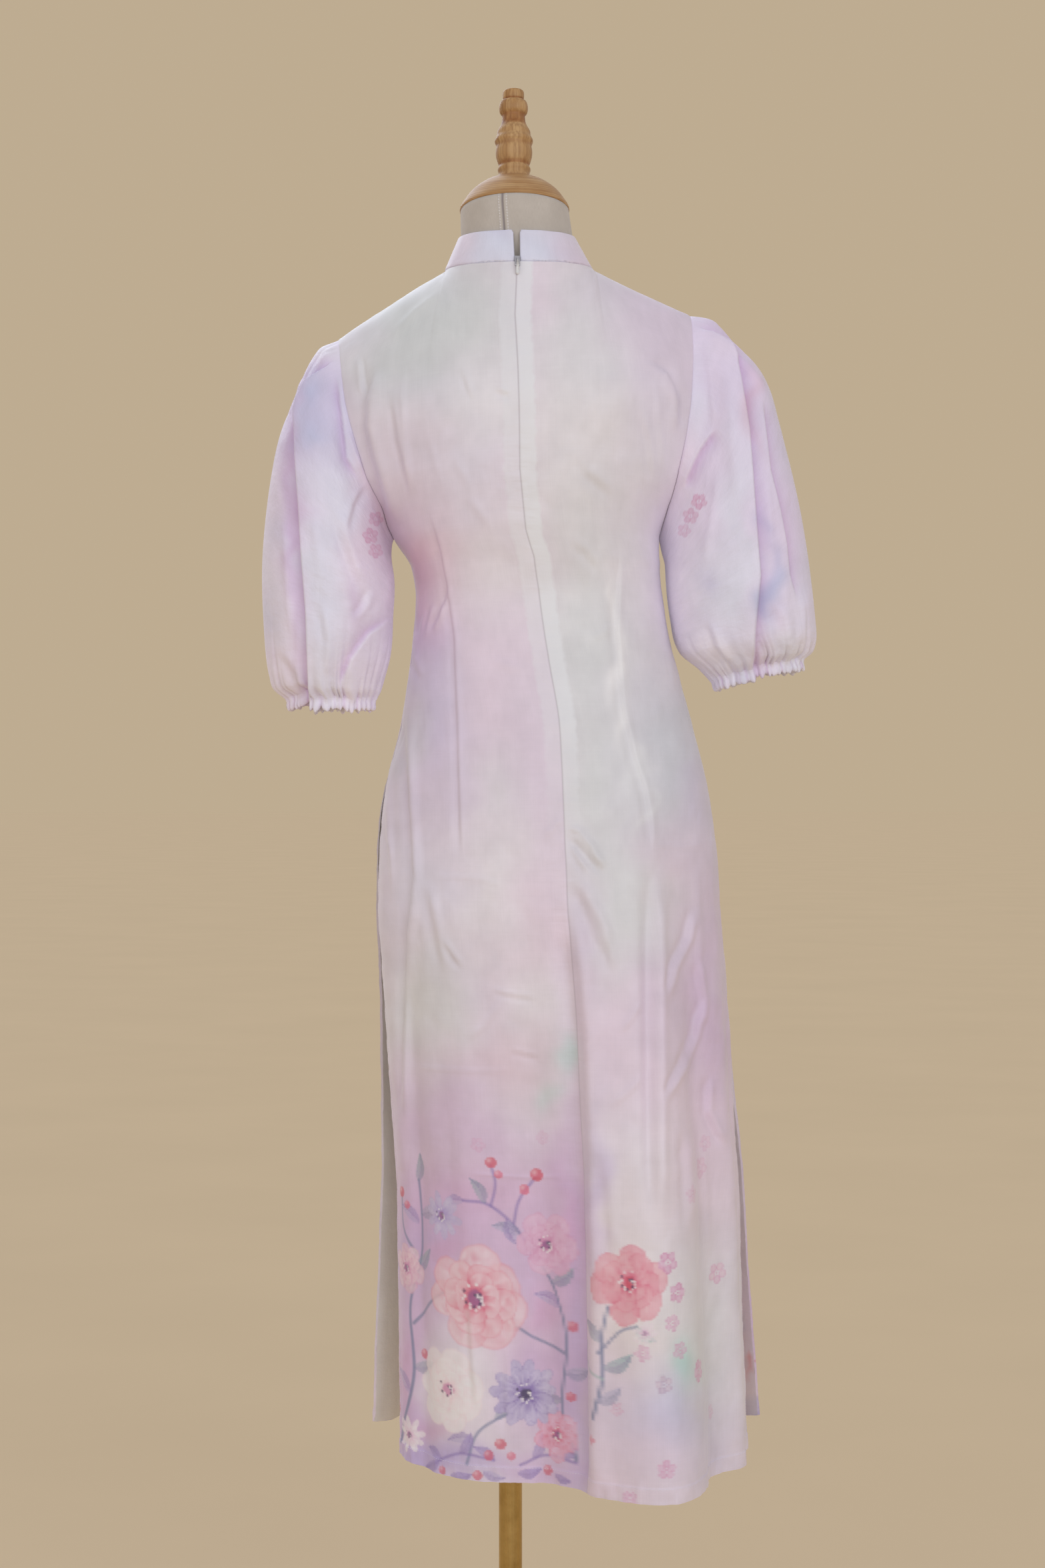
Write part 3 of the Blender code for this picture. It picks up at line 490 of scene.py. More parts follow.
LEFT_GROUND = [
    # the printed ground above the hem
    (740, 1900, 160, 190, 0.70, "mauve"),
    (610, 1960, 60, 230, 0.70, "mauve"),
    (604, 2120, 40, 90, 0.65, "iris"),
    (860, 1900, 50, 200, 0.60, "mauve"),
    (640, 1840, 50, 60, 0.45, "iris"),
    (700, 1790, 120, 60, 0.40, "magenta"),
    (690, 2070, 70, 100, 0.85, "white"),
    (780, 2010, 50, 50, 0.45, "pink"),
    (664, 1880, 34, 26, 0.50, "magenta"),
    (806, 1960, 30, 44, 0.50, "magenta"),
    (604, 2060, 22, 60, 0.55, "magenta"),
    (640, 2150, 40, 24, 0.50, "magenta"),
    (850, 1860, 18, 60, 0.50, "magenta"),
    (620, 2140, 50, 60, 0.60, "mauve"),
    (650, 2200, 110, 24, 0.75, "iris"),
    (820, 2200, 80, 22, 0.60, "mauve"),
    # painted shade: the valley along the seam's long fold
    (866, 2080, 22, 170, 0.5, "iris"),
    (820, 2080, 60, 70, 0.65, "mauve"),
]
RIGHT_WASH = [
    # x, y, half_width, half_height, strength, colour: the wearer's right, on the right of the picture
    (870, 600, 100, 260, 0.60, "white"),
    (880, 500, 80, 120, 0.45, "mist"),
    (1000, 520, 60, 110, 0.55, "lilac"),
    (960, 440, 80, 36, 0.35, "lilac"),
    (820, 440, 30, 50, 0.3, "pink"),
    (900, 760, 80, 100, 0.35, "mist"),
    (990, 680, 50, 110, 0.40, "frost"),
    # painted light: lightens the back beside the right sleeve, where the sleeve casts its shadow
    (1030, 870, 60, 150, 0.95, "glow"),
    (1000, 800, 50, 60, 0.5, "glow"),
    (880, 960, 80, 190, 0.85, "mist"),
    (900, 1180, 70, 160, 0.85, "mist"),
    # painted highlight: a pale streak along the right dart's ridge
    (918, 905, 7, 44, 0.60, "lining"),
    (923, 985, 8, 60, 0.75, "lining"),
    (936, 1075, 9, 50, 0.75, "lining"),
    (953, 1150, 9, 40, 0.70, "lining"),
    (968, 1215, 7, 40, 0.50, "lining"),
    (1000, 1130, 60, 150, 0.75, "steel"),
    (1050, 1200, 30, 120, 0.35, "lavender"),
    (930, 1350, 70, 100, 0.80, "mist"),
    (870, 1420, 28, 110, 0.55, "lilac"),
    (1000, 1300, 40, 60, 0.4, "pink"),
    (1050, 1400, 40, 130, 0.85, "lilac"),
    (1000, 1500, 60, 70, 0.5, "lilac"),
    (920, 1560, 60, 90, 0.45, "pink"),
    (1070, 1560, 40, 150, 0.55, "mauve"),
    (1010, 1640, 60, 100, 0.35, "pink"),
    (950, 1740, 90, 80, 0.35, "white"),
    (1060, 1760, 60, 120, 0.5, "pink"),
    # painted shade: a violet shadow beside the seam's long fold
    (900, 1800, 20, 130, 0.40, "iris"),
    (894, 1950, 26, 160, 0.45, "mauve"),
    (960, 1880, 60, 120, 0.45, "cream"),
]
RIGHT_GROUND = [
    (1050, 2010, 90, 150, 0.70, "mist"),
    (940, 2000, 70, 100, 0.70, "cream"),
    (1033, 2040, 26, 34, 0.85, "mint"),
    (1000, 2110, 60, 60, 0.50, "blue"),
    (970, 2130, 60, 60, 0.40, "lavender"),
    (910, 2080, 50, 70, 0.45, "lilac"),
    (960, 2180, 90, 50, 0.35, "pink"),
    (900, 2240, 60, 30, 0.45, "pink"),
    (1060, 2170, 50, 50, 0.25, "lavender"),
]
BACK_WASH = {"left": LEFT_WASH + LEFT_GROUND, "right": RIGHT_WASH + RIGHT_GROUND}
SLEEVE_WASH = {
    "left": [
        (480, 640, 60, 80, 0.70, "lavender"),
        (455, 600, 22, 26, 0.75, "blue"),
        (468, 655, 24, 24, 0.70, "blue"),
        (535, 600, 44, 70, 0.50, "frost"),
        (515, 690, 20, 22, 0.40, "lavender"),
        (500, 740, 44, 60, 0.75, "frost"),
        (570, 740, 40, 70, 0.60, "pink"),
        (480, 850, 36, 110, 0.80, "frost"),
        (530, 850, 24, 90, 0.45, "glow"),
        (492, 960, 42, 90, 0.85, "frost"),
        (412, 880, 16, 70, 0.60, "frost"),
        (422, 805, 16, 20, 0.45, "blue"),
        (404, 918, 16, 26, 0.60, "blue"),
        # painted light: lightens the sleeve's outer side and foot, which lie in shade
        (418, 850, 22, 200, 0.50, "glow"),
        (430, 1000, 40, 60, 0.75, "glow"),
        # painted shade: the valley beside the cap's long tuck
        (440, 760, 9, 200, 0.45, "mauve"),
        # painted light: lightens the lower sleeve, which faces down into shade
        (560, 950, 40, 90, 0.75, "painted_light"),
        (412, 930, 20, 90, 0.50, "painted_light"),
        (536, 900, 12, 44, 0.40, "mauve"),
        (560, 790, 26, 40, 0.35, "pink"),
        # painted light: lightens the sleeve's foot above the cuff, which faces down into shade
        (540, 1020, 60, 50, 0.80, "glow"),
        (490, 1030, 40, 44, 0.80, "frost"),
        (490, 536, 40, 20, 0.5, "white"),
        # painted light: lightens the sleeve's foot above the cuff, which faces down into shade
        (540, 1036, 50, 26, 0.80, "painted_light"),
        (430, 1036, 40, 26, 0.60, "painted_light"),
    ],
    "right": [
        (1060, 520, 50, 40, 0.20, "glow"),
        (1042, 620, 22, 80, 0.60, "frost"),
        (1085, 640, 14, 90, 0.40, "lilac"),
        (1030, 690, 22, 40, 0.45, "pink"),
        (1108, 760, 26, 120, 0.70, "frost"),
        # painted light: lightens the lower sleeve, which faces down and away from the key light
        (1080, 900, 60, 90, 0.80, "frost"),
        (1110, 900, 26, 60, 0.70, "frost"),
        (1072, 880, 18, 24, 0.45, "lavender"),
        # painted light: lightens the sleeve's inner side beside the body, which lies in shade
        (1006, 870, 34, 170, 0.90, "painted_light"),
        # painted shade: the valley beside the cap's long tuck
        (1158, 776, 9, 26, 0.60, "lavender"),
        (1156, 850, 10, 46, 0.60, "lavender"),
        (1158, 905, 14, 40, 0.90, "blue"),
        (1163, 940, 10, 36, 0.85, "blue"),
        (1172, 960, 10, 30, 0.50, "mauve"),
        (1200, 900, 24, 90, 0.50, "frost"),
        (1085, 975, 40, 24, 0.60, "lavender"),
        (1108, 1012, 18, 16, 0.95, "blue"),
        # painted light: lightens the sleeve's foot above the cuff, which faces down into shade
        (1175, 985, 50, 44, 0.90, "glow"),
        (1080, 1000, 50, 40, 0.80, "frost"),
        # painted shade: the rose valley under the cap's tuck
        (1140, 610, 12, 60, 0.45, "rose"),
        (1160, 660, 40, 90, 0.35, "frost"),
        # painted light: lightens the sleeve's foot above the cuff, which faces down into shade
        (1060, 990, 60, 34, 0.80, "painted_light"),
        (1180, 985, 44, 40, 0.80, "frost"),
    ],
}

HIP_EDGE = [(606, 1050), (609, 1091), (616, 1234), (620, 1311), (612, 1400), (606, 1560), (604, 1700)]
SEAM_FOLD = [(856, 1350), (860, 1430), (872, 1545), (879, 1720), (883, 1900), (884, 2300)]
LEFT_DART = [(641, 764), (658, 820), (669, 877), (680, 957), (685, 1107), (690, 1295)]
RIGHT_DART = [
    *((930, 820), (927, 868), (923, 945), (932, 1060)),
    *((951, 1139), (967, 1187), (975, 1240), (977, 1290)),
]
LEFT_CAP_TUCK = [
    *((506, 538), (482, 554), (459, 571), (444, 597), (439, 621), (441, 680)),
    *((445, 743), (450, 832), (457, 921), (460, 1000), (468, 1120)),
]
RIGHT_CAP_TUCK = [
    *((1126, 1080), (1130, 1012), (1136, 933), (1143, 862), (1138, 797), (1131, 703)),
    *((1126, 642), (1114, 562), (1108, 532), (1098, 512), (1070, 497), (1040, 489)),
]
RIGHT_SIDE_TUCK = [(1197, 905), (1186, 860), (1182, 815), (1172, 760), (1159, 703), (1152, 640), (1146, 590)]
BACK_CREASES = [
    # kind, half_width_px, height_mm, ends, line of pixels
    ("ridge", 5, 0.7, 0.3, [(583, 508), (620, 470), (667, 432)]),
    ("fold", 9, 1.8, 0.15, [(566, 548), (551, 600), (549, 640), (557, 680), (574, 735), (590, 792)]),
    ("fold", 3.5, -0.6, 0.2, [(541, 534), (542, 565), (543, 592)]),
    ("fold", 6, -0.9, 0.2, [(972, 546), (1000, 560), (1018, 598), (1020, 648)]),
    ("ridge", 4, 0.5, 0.2, [(960, 545), (992, 553), (1010, 580), (1016, 620)]),
    ("fold", 5, 0.7, 0.3, [(587, 588), (596, 660), (615, 741)]),
    ("ridge", 6, 1.0, 0.3, [(602, 560), (607, 655), (618, 747)]),
    ("fold", 4, 0.5, 0.4, [(691, 551), (700, 580), (710, 603)]),
    ("fold", 4, 0.6, 0.4, [(740, 582), (755, 589), (768, 591)]),
    ("ridge", 7, 0.5, 0.4, [(676, 674), (700, 720), (716, 762)]),
    ("ridge", 7, 0.5, 0.4, [(690, 730), (722, 770), (748, 800)]),
    ("ridge", 6, 0.4, 0.4, [(640, 640), (655, 700), (668, 742)]),
    ("fold", 7, 0.5, 0.4, [(866, 698), (896, 722), (924, 750)]),
    ("fold", 6, 0.4, 0.4, [(850, 810), (880, 830), (905, 862)]),
    ("fold", 5, 0.5, 0.4, [(958, 600), (972, 660), (980, 730)]),
    ("ridge", 6, 0.6, 0.4, [(985, 560), (990, 640), (1000, 720)]),
    # waist
    ("fold", 3.5, 0.8, 0.3, [(664, 900), (655, 930), (646, 948)]),
    ("fold", 3.5, 0.7, 0.3, [(648, 905), (640, 935), (634, 960)]),
    ("fold", 3.5, 0.6, 0.3, [(636, 915), (630, 940), (628, 957)]),
    ("fold", 3.0, 0.6, 0.3, [(673, 878), (664, 912), (657, 938)]),
    ("fold", 5.0, 0.6, 0.3, [(617, 980), (624, 1000), (632, 1020)]),
    ("ridge", 6.0, 0.4, 0.4, [(730, 986), (765, 1000), (795, 1004)]),
    ("ridge", 6.0, 0.5, 0.4, [(880, 960), (905, 950), (922, 935)]),
    ("ridge", 8.0, 0.5, 0.4, [(990, 960), (1006, 1000), (1020, 1040)]),
    # the soft edge where the left hip turns to the side
    ("fold", 6.0, 1.6, 0.15, HIP_EDGE),
    ("ridge", 4.0, 0.8, 0.3, [(592, 1110), (585, 1170), (588, 1260), (590, 1360)]),
    ("ridge", 4.0, 0.8, 0.3, [(580, 1180), (584, 1240), (590, 1300)]),
    # below the zip
    ("fold", 6.0, 1.5, 0.25, [(851, 1247), (878, 1275), (907, 1308)]),
    ("fold", 4.0, 0.9, 0.25, [(850, 1242), (868, 1250), (895, 1282)]),
    ("fold", 4.0, 0.7, 0.25, [(853, 1266), (866, 1290), (880, 1310)]),
    ("ridge", 5.0, 0.6, 0.3, [(842, 1225), (830, 1243), (815, 1255)]),
    ("fold", 9.0, 1.6, 0.25, [(863, 1319), (880, 1360), (893, 1400), (902, 1436)]),
    ("fold", 7.0, 0.9, 0.3, [(886, 1345), (905, 1400), (918, 1467)]),
    ("fold", 7.0, 0.7, 0.3, [(637, 1319), (652, 1390), (668, 1467)]),
    ("fold", 4.0, 0.5, 0.3, [(664, 1408), (680, 1435), (696, 1455)]),
    ("fold", 3.0, 0.5, 0.3, [(734, 1486), (770, 1494), (805, 1498)]),
    ("fold", 3.0, 0.4, 0.3, [(762, 1576), (790, 1582), (812, 1587)]),
    ("ridge", 5.0, 0.6, 0.3, [(700, 1560), (725, 1540), (752, 1500)]),
    # the seam rides on a long soft fold
    ("fold", 15.0, 3.6, 0.12, SEAM_FOLD),
    # valleys of the right half
    ("fold", 9.0, 2.4, 0.2, [(979, 1290), (981, 1400), (982, 1540), (983, 1740), (985, 1850)]),
    ("ridge", 7.0, 0.9, 0.3, [(1044, 1280), (1048, 1400), (1052, 1520)]),
    ("fold", 5.0, 1.2, 0.2, [(1038, 1358), (1030, 1408), (1007, 1451), (998, 1500)]),
    ("fold", 5.0, 1.2, 0.2, [(1050, 1500), (1042, 1552), (1022, 1599), (1003, 1630), (991, 1653)]),
    ("fold", 5.0, 0.9, 0.2, [(1044, 1440), (1054, 1500), (1050, 1540)]),
    ("fold", 5.0, 1.0, 0.2, [(1063, 1611), (1061, 1669), (1085, 1720)]),
    ("ridge", 5.0, 0.7, 0.3, [(968, 1498), (948, 1525), (929, 1552)]),
    ("ridge", 5.0, 0.7, 0.3, [(968, 1611), (940, 1640), (913, 1661)]),
    ("fold", 6.0, 1.0, 0.3, [(1026, 1690), (1030, 1780), (1032, 1850)]),
    ("ridge", 7.0, 0.9, 0.3, [(1052, 1700), (1060, 1800), (1064, 1900)]),
    ("fold", 8.0, 0.9, 0.3, [(905, 1720), (912, 1800), (918, 1900)]),
    # storage creases
    ("ridge", 2.5, 0.35, 0.2, [(606, 1600), (700, 1606), (780, 1604)]),
    ("ridge", 2.5, 0.30, 0.2, [(640, 1312), (720, 1318), (760, 1330)]),
    ("ridge", 2.5, 0.30, 0.2, [(700, 1760), (790, 1766), (850, 1764)]),
    ("ridge", 2.5, 0.30, 0.2, [(980, 1268), (1020, 1270), (1060, 1266)]),
    ("fold", 5.0, 0.6, 0.3, [(700, 1940), (705, 2020), (712, 2120)]),
    ("fold", 5.0, 0.5, 0.3, [(760, 2010), (757, 2080), (760, 2160)]),
    ("ridge", 6.0, 0.6, 0.3, [(640, 1800), (644, 1900), (640, 2000)]),
]
DARTS = [
    ("ridge", 2.2, -0.5, 0.12, LEFT_DART),
    ("fold", 4.5, 0.5, 0.12, LEFT_DART),
    ("ridge", 2.2, -0.5, 0.12, RIGHT_DART),
    ("fold", 5.0, 0.6, 0.12, RIGHT_DART),
]

SLEEVE_CREASES = {
    "left": [
        # kind, half_width_px, height_mm, ends, line of pixels
        ("tuck", 12, 4.6, 0.06, LEFT_CAP_TUCK),
        ("ridge", 8, 1.2, 0.2, [(500, 524), (470, 548), (440, 590)]),
        ("tuck", 7, 2.0, 0.2, [(504, 560), (512, 620), (520, 687), (541, 722)]),
        ("ridge", 7, 1.6, 0.25, [(520, 640), (532, 680), (550, 712)]),
        ("fold", 7, 1.6, 0.3, [(501, 762), (512, 800), (525, 837), (544, 893)]),
        ("fold", 5, -1.2, 0.3, [(548, 724), (530, 760), (520, 800)]),
        ("tuck", 9, 2.2, 0.25, [(590, 925), (553, 950), (525, 987), (506, 1039)]),
        ("ridge", 8, 1.2, 0.3, [(470, 760), (478, 830), (484, 900)]),
        ("ridge", 7, 1.2, 0.3, [(580, 780), (586, 860), (584, 915)]),
        ("fold", 6, 1.4, 0.3, [(480, 900), (488, 960), (484, 1020)]),
        ("ridge", 6, 1.6, 0.25, [(424, 760), (430, 860), (436, 960)]),
        ("fold", 6, 1.4, 0.3, [(424, 975), (438, 1010), (448, 1044)]),
        ("fold", 5, 1.0, 0.3, [(556, 880), (548, 905), (530, 930)]),
    ],
    "right": [
        ("tuck", 13, 4.6, 0.06, RIGHT_CAP_TUCK),
        ("fold", 5, -0.9, 0.3, [(1146, 590), (1130, 562), (1110, 536), (1090, 514)]),
        ("tuck", 10, 2.4, 0.15, RIGHT_SIDE_TUCK),
        ("ridge", 6, 1.5, 0.2, [(1058, 505), (1066, 560), (1073, 640)]),
        ("tuck", 8, 2.4, 0.2, [(1024, 735), (1038, 702), (1051, 675), (1075, 641)]),
        ("ridge", 8, 1.3, 0.3, [(1092, 560), (1100, 660), (1106, 780)]),
        ("ridge", 7, 1.2, 0.3, [(1080, 690), (1070, 770), (1052, 860)]),
        ("ridge", 7, 1.4, 0.3, [(1208, 880), (1206, 930), (1196, 980)]),
        ("fold", 7, 1.5, 0.3, [(1166, 900), (1176, 950), (1178, 990)]),
        ("ridge", 6, 1.0, 0.3, [(1150, 700), (1156, 770), (1160, 840)]),
        ("fold", 6, 1.2, 0.3, [(1060, 930), (1076, 970), (1096, 1000)]),
    ],
}

FRONT_WASH = [
    # x, y, half_width, half_height, strength, colour
    (700, 480, 150, 110, 0.7, "mist"),
    (900, 520, 90, 120, 0.6, "lilac"),
    (800, 650, 110, 90, 0.5, "pink"),
    (960, 700, 60, 120, 0.5, "lavender"),
    (650, 760, 70, 100, 0.4, "rose"),
    (880, 900, 90, 120, 0.6, "mist"),
    (700, 960, 80, 120, 0.6, "lilac"),
    (800, 1130, 90, 130, 0.5, "pink"),
    (960, 1180, 90, 110, 0.7, "steel"),
    (660, 1240, 80, 120, 0.6, "mist"),
    (830, 1400, 110, 110, 0.6, "mist"),
    (1010, 1430, 90, 120, 0.5, "lilac"),
    (700, 1520, 100, 110, 0.5, "lilac"),
    (910, 1600, 120, 90, 0.5, "pink"),
    (640, 1750, 110, 120, 0.5, "white"),
    (760, 1760, 26, 26, 0.7, "mint"),
    (900, 1850, 130, 120, 0.7, "mauve"),
    (1060, 1980, 110, 200, 0.8, "mauve"),
    (740, 1960, 120, 110, 0.7, "white"),
    (880, 2080, 110, 80, 0.6, "cream"),
    (640, 2090, 70, 80, 0.6, "pink"),
    (600, 1960, 30, 50, 0.7, "mint"),
]
FRONT_CREASES = [
    # kind, half_width_px, height_mm, ends, line of pixels
    ("fold", 7, 0.8, 0.3, [(640, 700), (690, 690), (742, 676)]),
    ("fold", 7, 0.8, 0.3, [(860, 680), (915, 690), (960, 706)]),
    ("ridge", 8, 0.7, 0.3, [(700, 760), (712, 860), (706, 960)]),
    ("ridge", 8, 0.7, 0.3, [(880, 760), (872, 860), (880, 960)]),
    ("fold", 5, 0.7, 0.3, [(640, 1180), (680, 1240), (700, 1320)]),
    ("fold", 6, 0.8, 0.3, [(930, 1200), (900, 1290), (890, 1380)]),
    ("fold", 9, 1.8, 0.2, [(760, 1330), (752, 1480), (748, 1700), (744, 1900)]),
    ("fold", 9, 1.6, 0.2, [(930, 1360), (940, 1520), (946, 1760), (950, 2000)]),
    ("ridge", 8, 1.0, 0.3, [(850, 1400), (846, 1600), (850, 1800)]),
    ("ridge", 2.5, 0.35, 0.2, [(620, 1604), (760, 1610), (900, 1602), (1060, 1608)]),
    ("ridge", 2.5, 0.30, 0.2, [(620, 1316), (760, 1322), (900, 1314), (1040, 1320)]),
    ("fold", 6, 0.9, 0.3, [(1030, 1420), (1044, 1600), (1052, 1800)]),
]
COLLAR_WASH = [
    # x, y, half_width, half_height, strength, colour
    (750, 365, 60, 50, 0.95, "ice"),
    (820, 368, 60, 50, 0.90, "ice"),
    (700, 375, 24, 34, 0.35, "pink"),
    (672, 400, 22, 34, 0.5, "lilac"),
    (850, 372, 24, 34, 0.45, "lilac"),
    (880, 390, 20, 40, 0.5, "pink"),
    (735, 345, 30, 14, 0.4, "lavender"),
]
WASH_SEEDS = {
    # what a piece's noise starts from
    "back_left": 3,
    "back_right": 13,
    "front": 23,
    "sleeve_right": 33,
    "sleeve_left": 43,
    "collar": 63,
}
WANDER = [
    # scale_px, reach_px, seed past the piece's own: how far the washes' edges stray
    (70.0, 20, 0),
    (24.0, 7, 2),
]
CLOUDS = [
    # scale_px, stretch, strength, seed past the piece's own: how the washes' tone varies
    (45.0, 1.00, 0.030, 4),
    (16.0, 0.50, 0.020, 5),
    (7.0, 0.35, 0.014, 6),
]
TINT = {
    # what the materials mix, as reflectance
    "cloth": (0.80, 0.75, 0.80),
    "zip_band": (0.86, 0.88, 0.91),
    "seam_line": (0.42, 0.36, 0.40),
    "thread": (0.86, 0.80, 0.85),
    "thread_dark": (0.76, 0.68, 0.76),
    "thread_pale": (0.92, 0.88, 0.91),
    "jersey": (0.62, 0.56, 0.48),
    "jersey_dark": (0.52, 0.475, 0.42),
    "jersey_pale": (0.62, 0.57, 0.51),
    "jersey_rib": (0.46, 0.41, 0.36),
    "jersey_groove": (0.20, 0.17, 0.19),
    "jersey_stitch": (0.88, 0.85, 0.84),
    "wood": (0.50, 0.30, 0.15),
    "wood_pale": (0.58, 0.365, 0.165),
    "wood_grain": (0.40, 0.205, 0.070),
    "wood_fibre": (0.26, 0.115, 0.040),
    "wood_cloud": (0.62, 0.41, 0.20),
    "brass": (0.62, 0.43, 0.17),
    "brass_dark": (0.42, 0.27, 0.09),
    "zip_nickel": (0.60, 0.60, 0.62),
    "zip_nickel_dark": (0.38, 0.38, 0.41),
    "enamel": (0.86, 0.86, 0.86),
    "enamel_pale": (0.88, 0.88, 0.87),
    "enamel_grey": (0.74, 0.75, 0.76),
}
PAINT = {
    # colours of the printed motifs, as reflectance
    "coral": (0.74, 0.17, 0.27),
    "peach": (0.84, 0.50, 0.55),
    "petal": (0.88, 0.70, 0.75),
    "red": (0.66, 0.10, 0.16),
    "rose": (0.68, 0.29, 0.49),
    "blush": (0.82, 0.58, 0.74),
    "cream": (0.88, 0.86, 0.87),
    "plum": (0.34, 0.14, 0.32),
    "violet": (0.30, 0.22, 0.50),
    "iris": (0.48, 0.38, 0.68),
    "mist": (0.66, 0.60, 0.78),
    "ink": (0.10, 0.08, 0.16),
    "slate": (0.24, 0.27, 0.42),
    "sage": (0.42, 0.52, 0.52),
    "teal": (0.40, 0.62, 0.58),
    "pollen": (0.88, 0.84, 0.86),
}

# The design above the hem, by the side of the wearer. Pixels are the picture's.
TWIGS = {
    "left": [
        # width_px, colour, strength, line of pixels
        (7, "slate", 0.85, [(602, 2160), (620, 2070), (616, 1960), (634, 1870), (628, 1770)]),
        (5, "slate", 0.8, [(620, 1985), (650, 1950), (672, 1935)]),
        (5, "slate", 0.8, [(626, 1880), (606, 1840), (603, 1790)]),
        (6, "slate", 0.85, [(864, 2190), (844, 2110), (848, 2010), (830, 1930), (800, 1880)]),
        (5, "slate", 0.8, [(846, 2030), (804, 2006), (776, 1990)]),
        (5, "violet", 0.75, [(800, 1880), (772, 1838), (730, 1806), (694, 1800)]),
        (4, "violet", 0.7, [(770, 1836), (780, 1800), (804, 1766)]),
        (4, "violet", 0.7, [(736, 1808), (744, 1776), (736, 1748)]),
        (5, "slate", 0.75, [(700, 2196), (716, 2150), (750, 2126), (782, 2116)]),
        (4, "violet", 0.7, [(640, 2200), (690, 2180), (740, 2190)]),
        (4, "violet", 0.7, [(780, 2198), (820, 2182), (862, 2194)]),
    ],
    "right": [
        (6, "slate", 0.85, [(888, 2128), (906, 2070), (900, 2010), (914, 1960)]),
        (5, "slate", 0.7, [(900, 2030), (930, 1998), (956, 1990)]),
        (4, "sage", 0.7, [(902, 2070), (882, 2040), (878, 2010)]),
    ],
    "front": [
        (6, "slate", 0.85, [(700, 2180), (760, 2100), (820, 2070), (900, 2060), (980, 2010)]),
        (5, "slate", 0.8, [(820, 2070), (850, 1990), (842, 1930)]),
        (4, "violet", 0.75, [(980, 2010), (1010, 1960), (1012, 1900)]),
        (4, "violet", 0.75, [(760, 2100), (720, 2040), (712, 1980)]),
        (4, "slate", 0.75, [(1080, 2170), (1104, 2090), (1090, 2010)]),
    ],
}
LEAVES = {
    "left": [
        # x, y, length_px, turn_deg, light, deep, strength
        (616, 1940, 52, -140, "mist", "slate", 0.8),
        (622, 1902, 56, -40, "sage", "slate", 0.8),
        (630, 1836, 50, -150, "mist", "violet", 0.75),
        (632, 1820, 52, -25, "mist", "slate", 0.75),
        (628, 1772, 46, -80, "sage", "slate", 0.8),
        (618, 2090, 56, -150, "mist", "violet", 0.75),
        (620, 2050, 52, -20, "sage", "slate", 0.7),
        (848, 2060, 52, -15, "mist", "slate", 0.75),
        (842, 2100, 54, 160, "sage", "slate", 0.8),
        (840, 1962, 48, -160, "mist", "violet", 0.75),
        (828, 1926, 50, -35, "sage", "slate", 0.8),
        (782, 1852, 46, -165, "mist", "slate", 0.8),
        (760, 1826, 44, 70, "mist", "violet", 0.8),
        (728, 1806, 44, -120, "sage", "slate", 0.8),
        (696, 1800, 42, 165, "mist", "violet", 0.75),
        (742, 2130, 50, -60, "sage", "slate", 0.8),
        (712, 2160, 46, 170, "mist", "violet", 0.75),
        (690, 2180, 42, -60, "iris", "violet", 0.75),
        (664, 2192, 40, 200, "iris", "violet", 0.75),
        (800, 2188, 42, -70, "iris", "violet", 0.75),
        (640, 2198, 42, -30, "iris", "violet", 0.75),
        (745, 2192, 40, -150, "iris", "violet", 0.75),
        (840, 2188, 36, -40, "iris", "violet", 0.75),
        (622, 2200, 34, 20, "iris", "violet", 0.85),
        (676, 2212, 40, -12, "iris", "violet", 0.85),
        (724, 2208, 36, 14, "mist", "violet", 0.80),
        (776, 2212, 40, -14, "iris", "violet", 0.85),
        (830, 2210, 34, 10, "iris", "violet", 0.85),
    ],
    "right": [
        (906, 2056, 54, -30, "teal", "slate", 0.8),
        (902, 2014, 50, -150, "sage", "slate", 0.75),
        (895, 2104, 48, -35, "mist", "slate", 0.7),
        (950, 1990, 40, 30, "teal", "sage", 0.7),
    ],
    "front": [
        (760, 2100, 60, -130, "mist", "slate", 0.8),
        (790, 2085, 56, 60, "sage", "slate", 0.8),
        (870, 2064, 58, 70, "mist", "violet", 0.75),
        (850, 1990, 52, -20, "sage", "slate", 0.8),
        (940, 2040, 56, -60, "mist", "slate", 0.8),
        (1000, 1980, 50, 20, "sage", "slate", 0.8),
        (1104, 2090, 50, -150, "mist", "violet", 0.8),
        (1096, 2050, 46, -50, "sage", "slate", 0.8),
        (725, 2050, 50, 150, "mist", "violet", 0.75),
    ],
}
DAISIES = {
    "left": [
        # x, y, radius_px, petals, turn_deg, light, deep, heart, strength, seed
        (790, 2092, 50, 11, 10, "mist", "violet", "ink", 0.95, 31),
        (662, 1822, 34, 10, 30, "mist", "iris", "plum", 0.80, 32),
        (614, 2152, 28, 9, 0, "cream", "blush", "plum", 0.75, 33),
    ],
    "right": [
        (968, 2000, 18, 9, 12, "cream", "blush", "plum", 0.5, 34),
    ],
    "front": [
        (712, 1962, 46, 11, 10, "mist", "violet", "ink", 0.9, 35),
        (842, 1905, 40, 10, 30, "cream", "iris", "plum", 0.8, 36),
        (1088, 1986, 42, 10, 0, "mist", "violet", "ink", 0.85, 37),
    ],
}
BLOOM_RINGS = ((1.08, 0.46, 0), (0.80, 0.36, 1), (0.52, 0.26, -1))  # reach, width, more petals
DAISY_RINGS = ((1.06, 0.21, 0), (0.80, 0.18, 0))
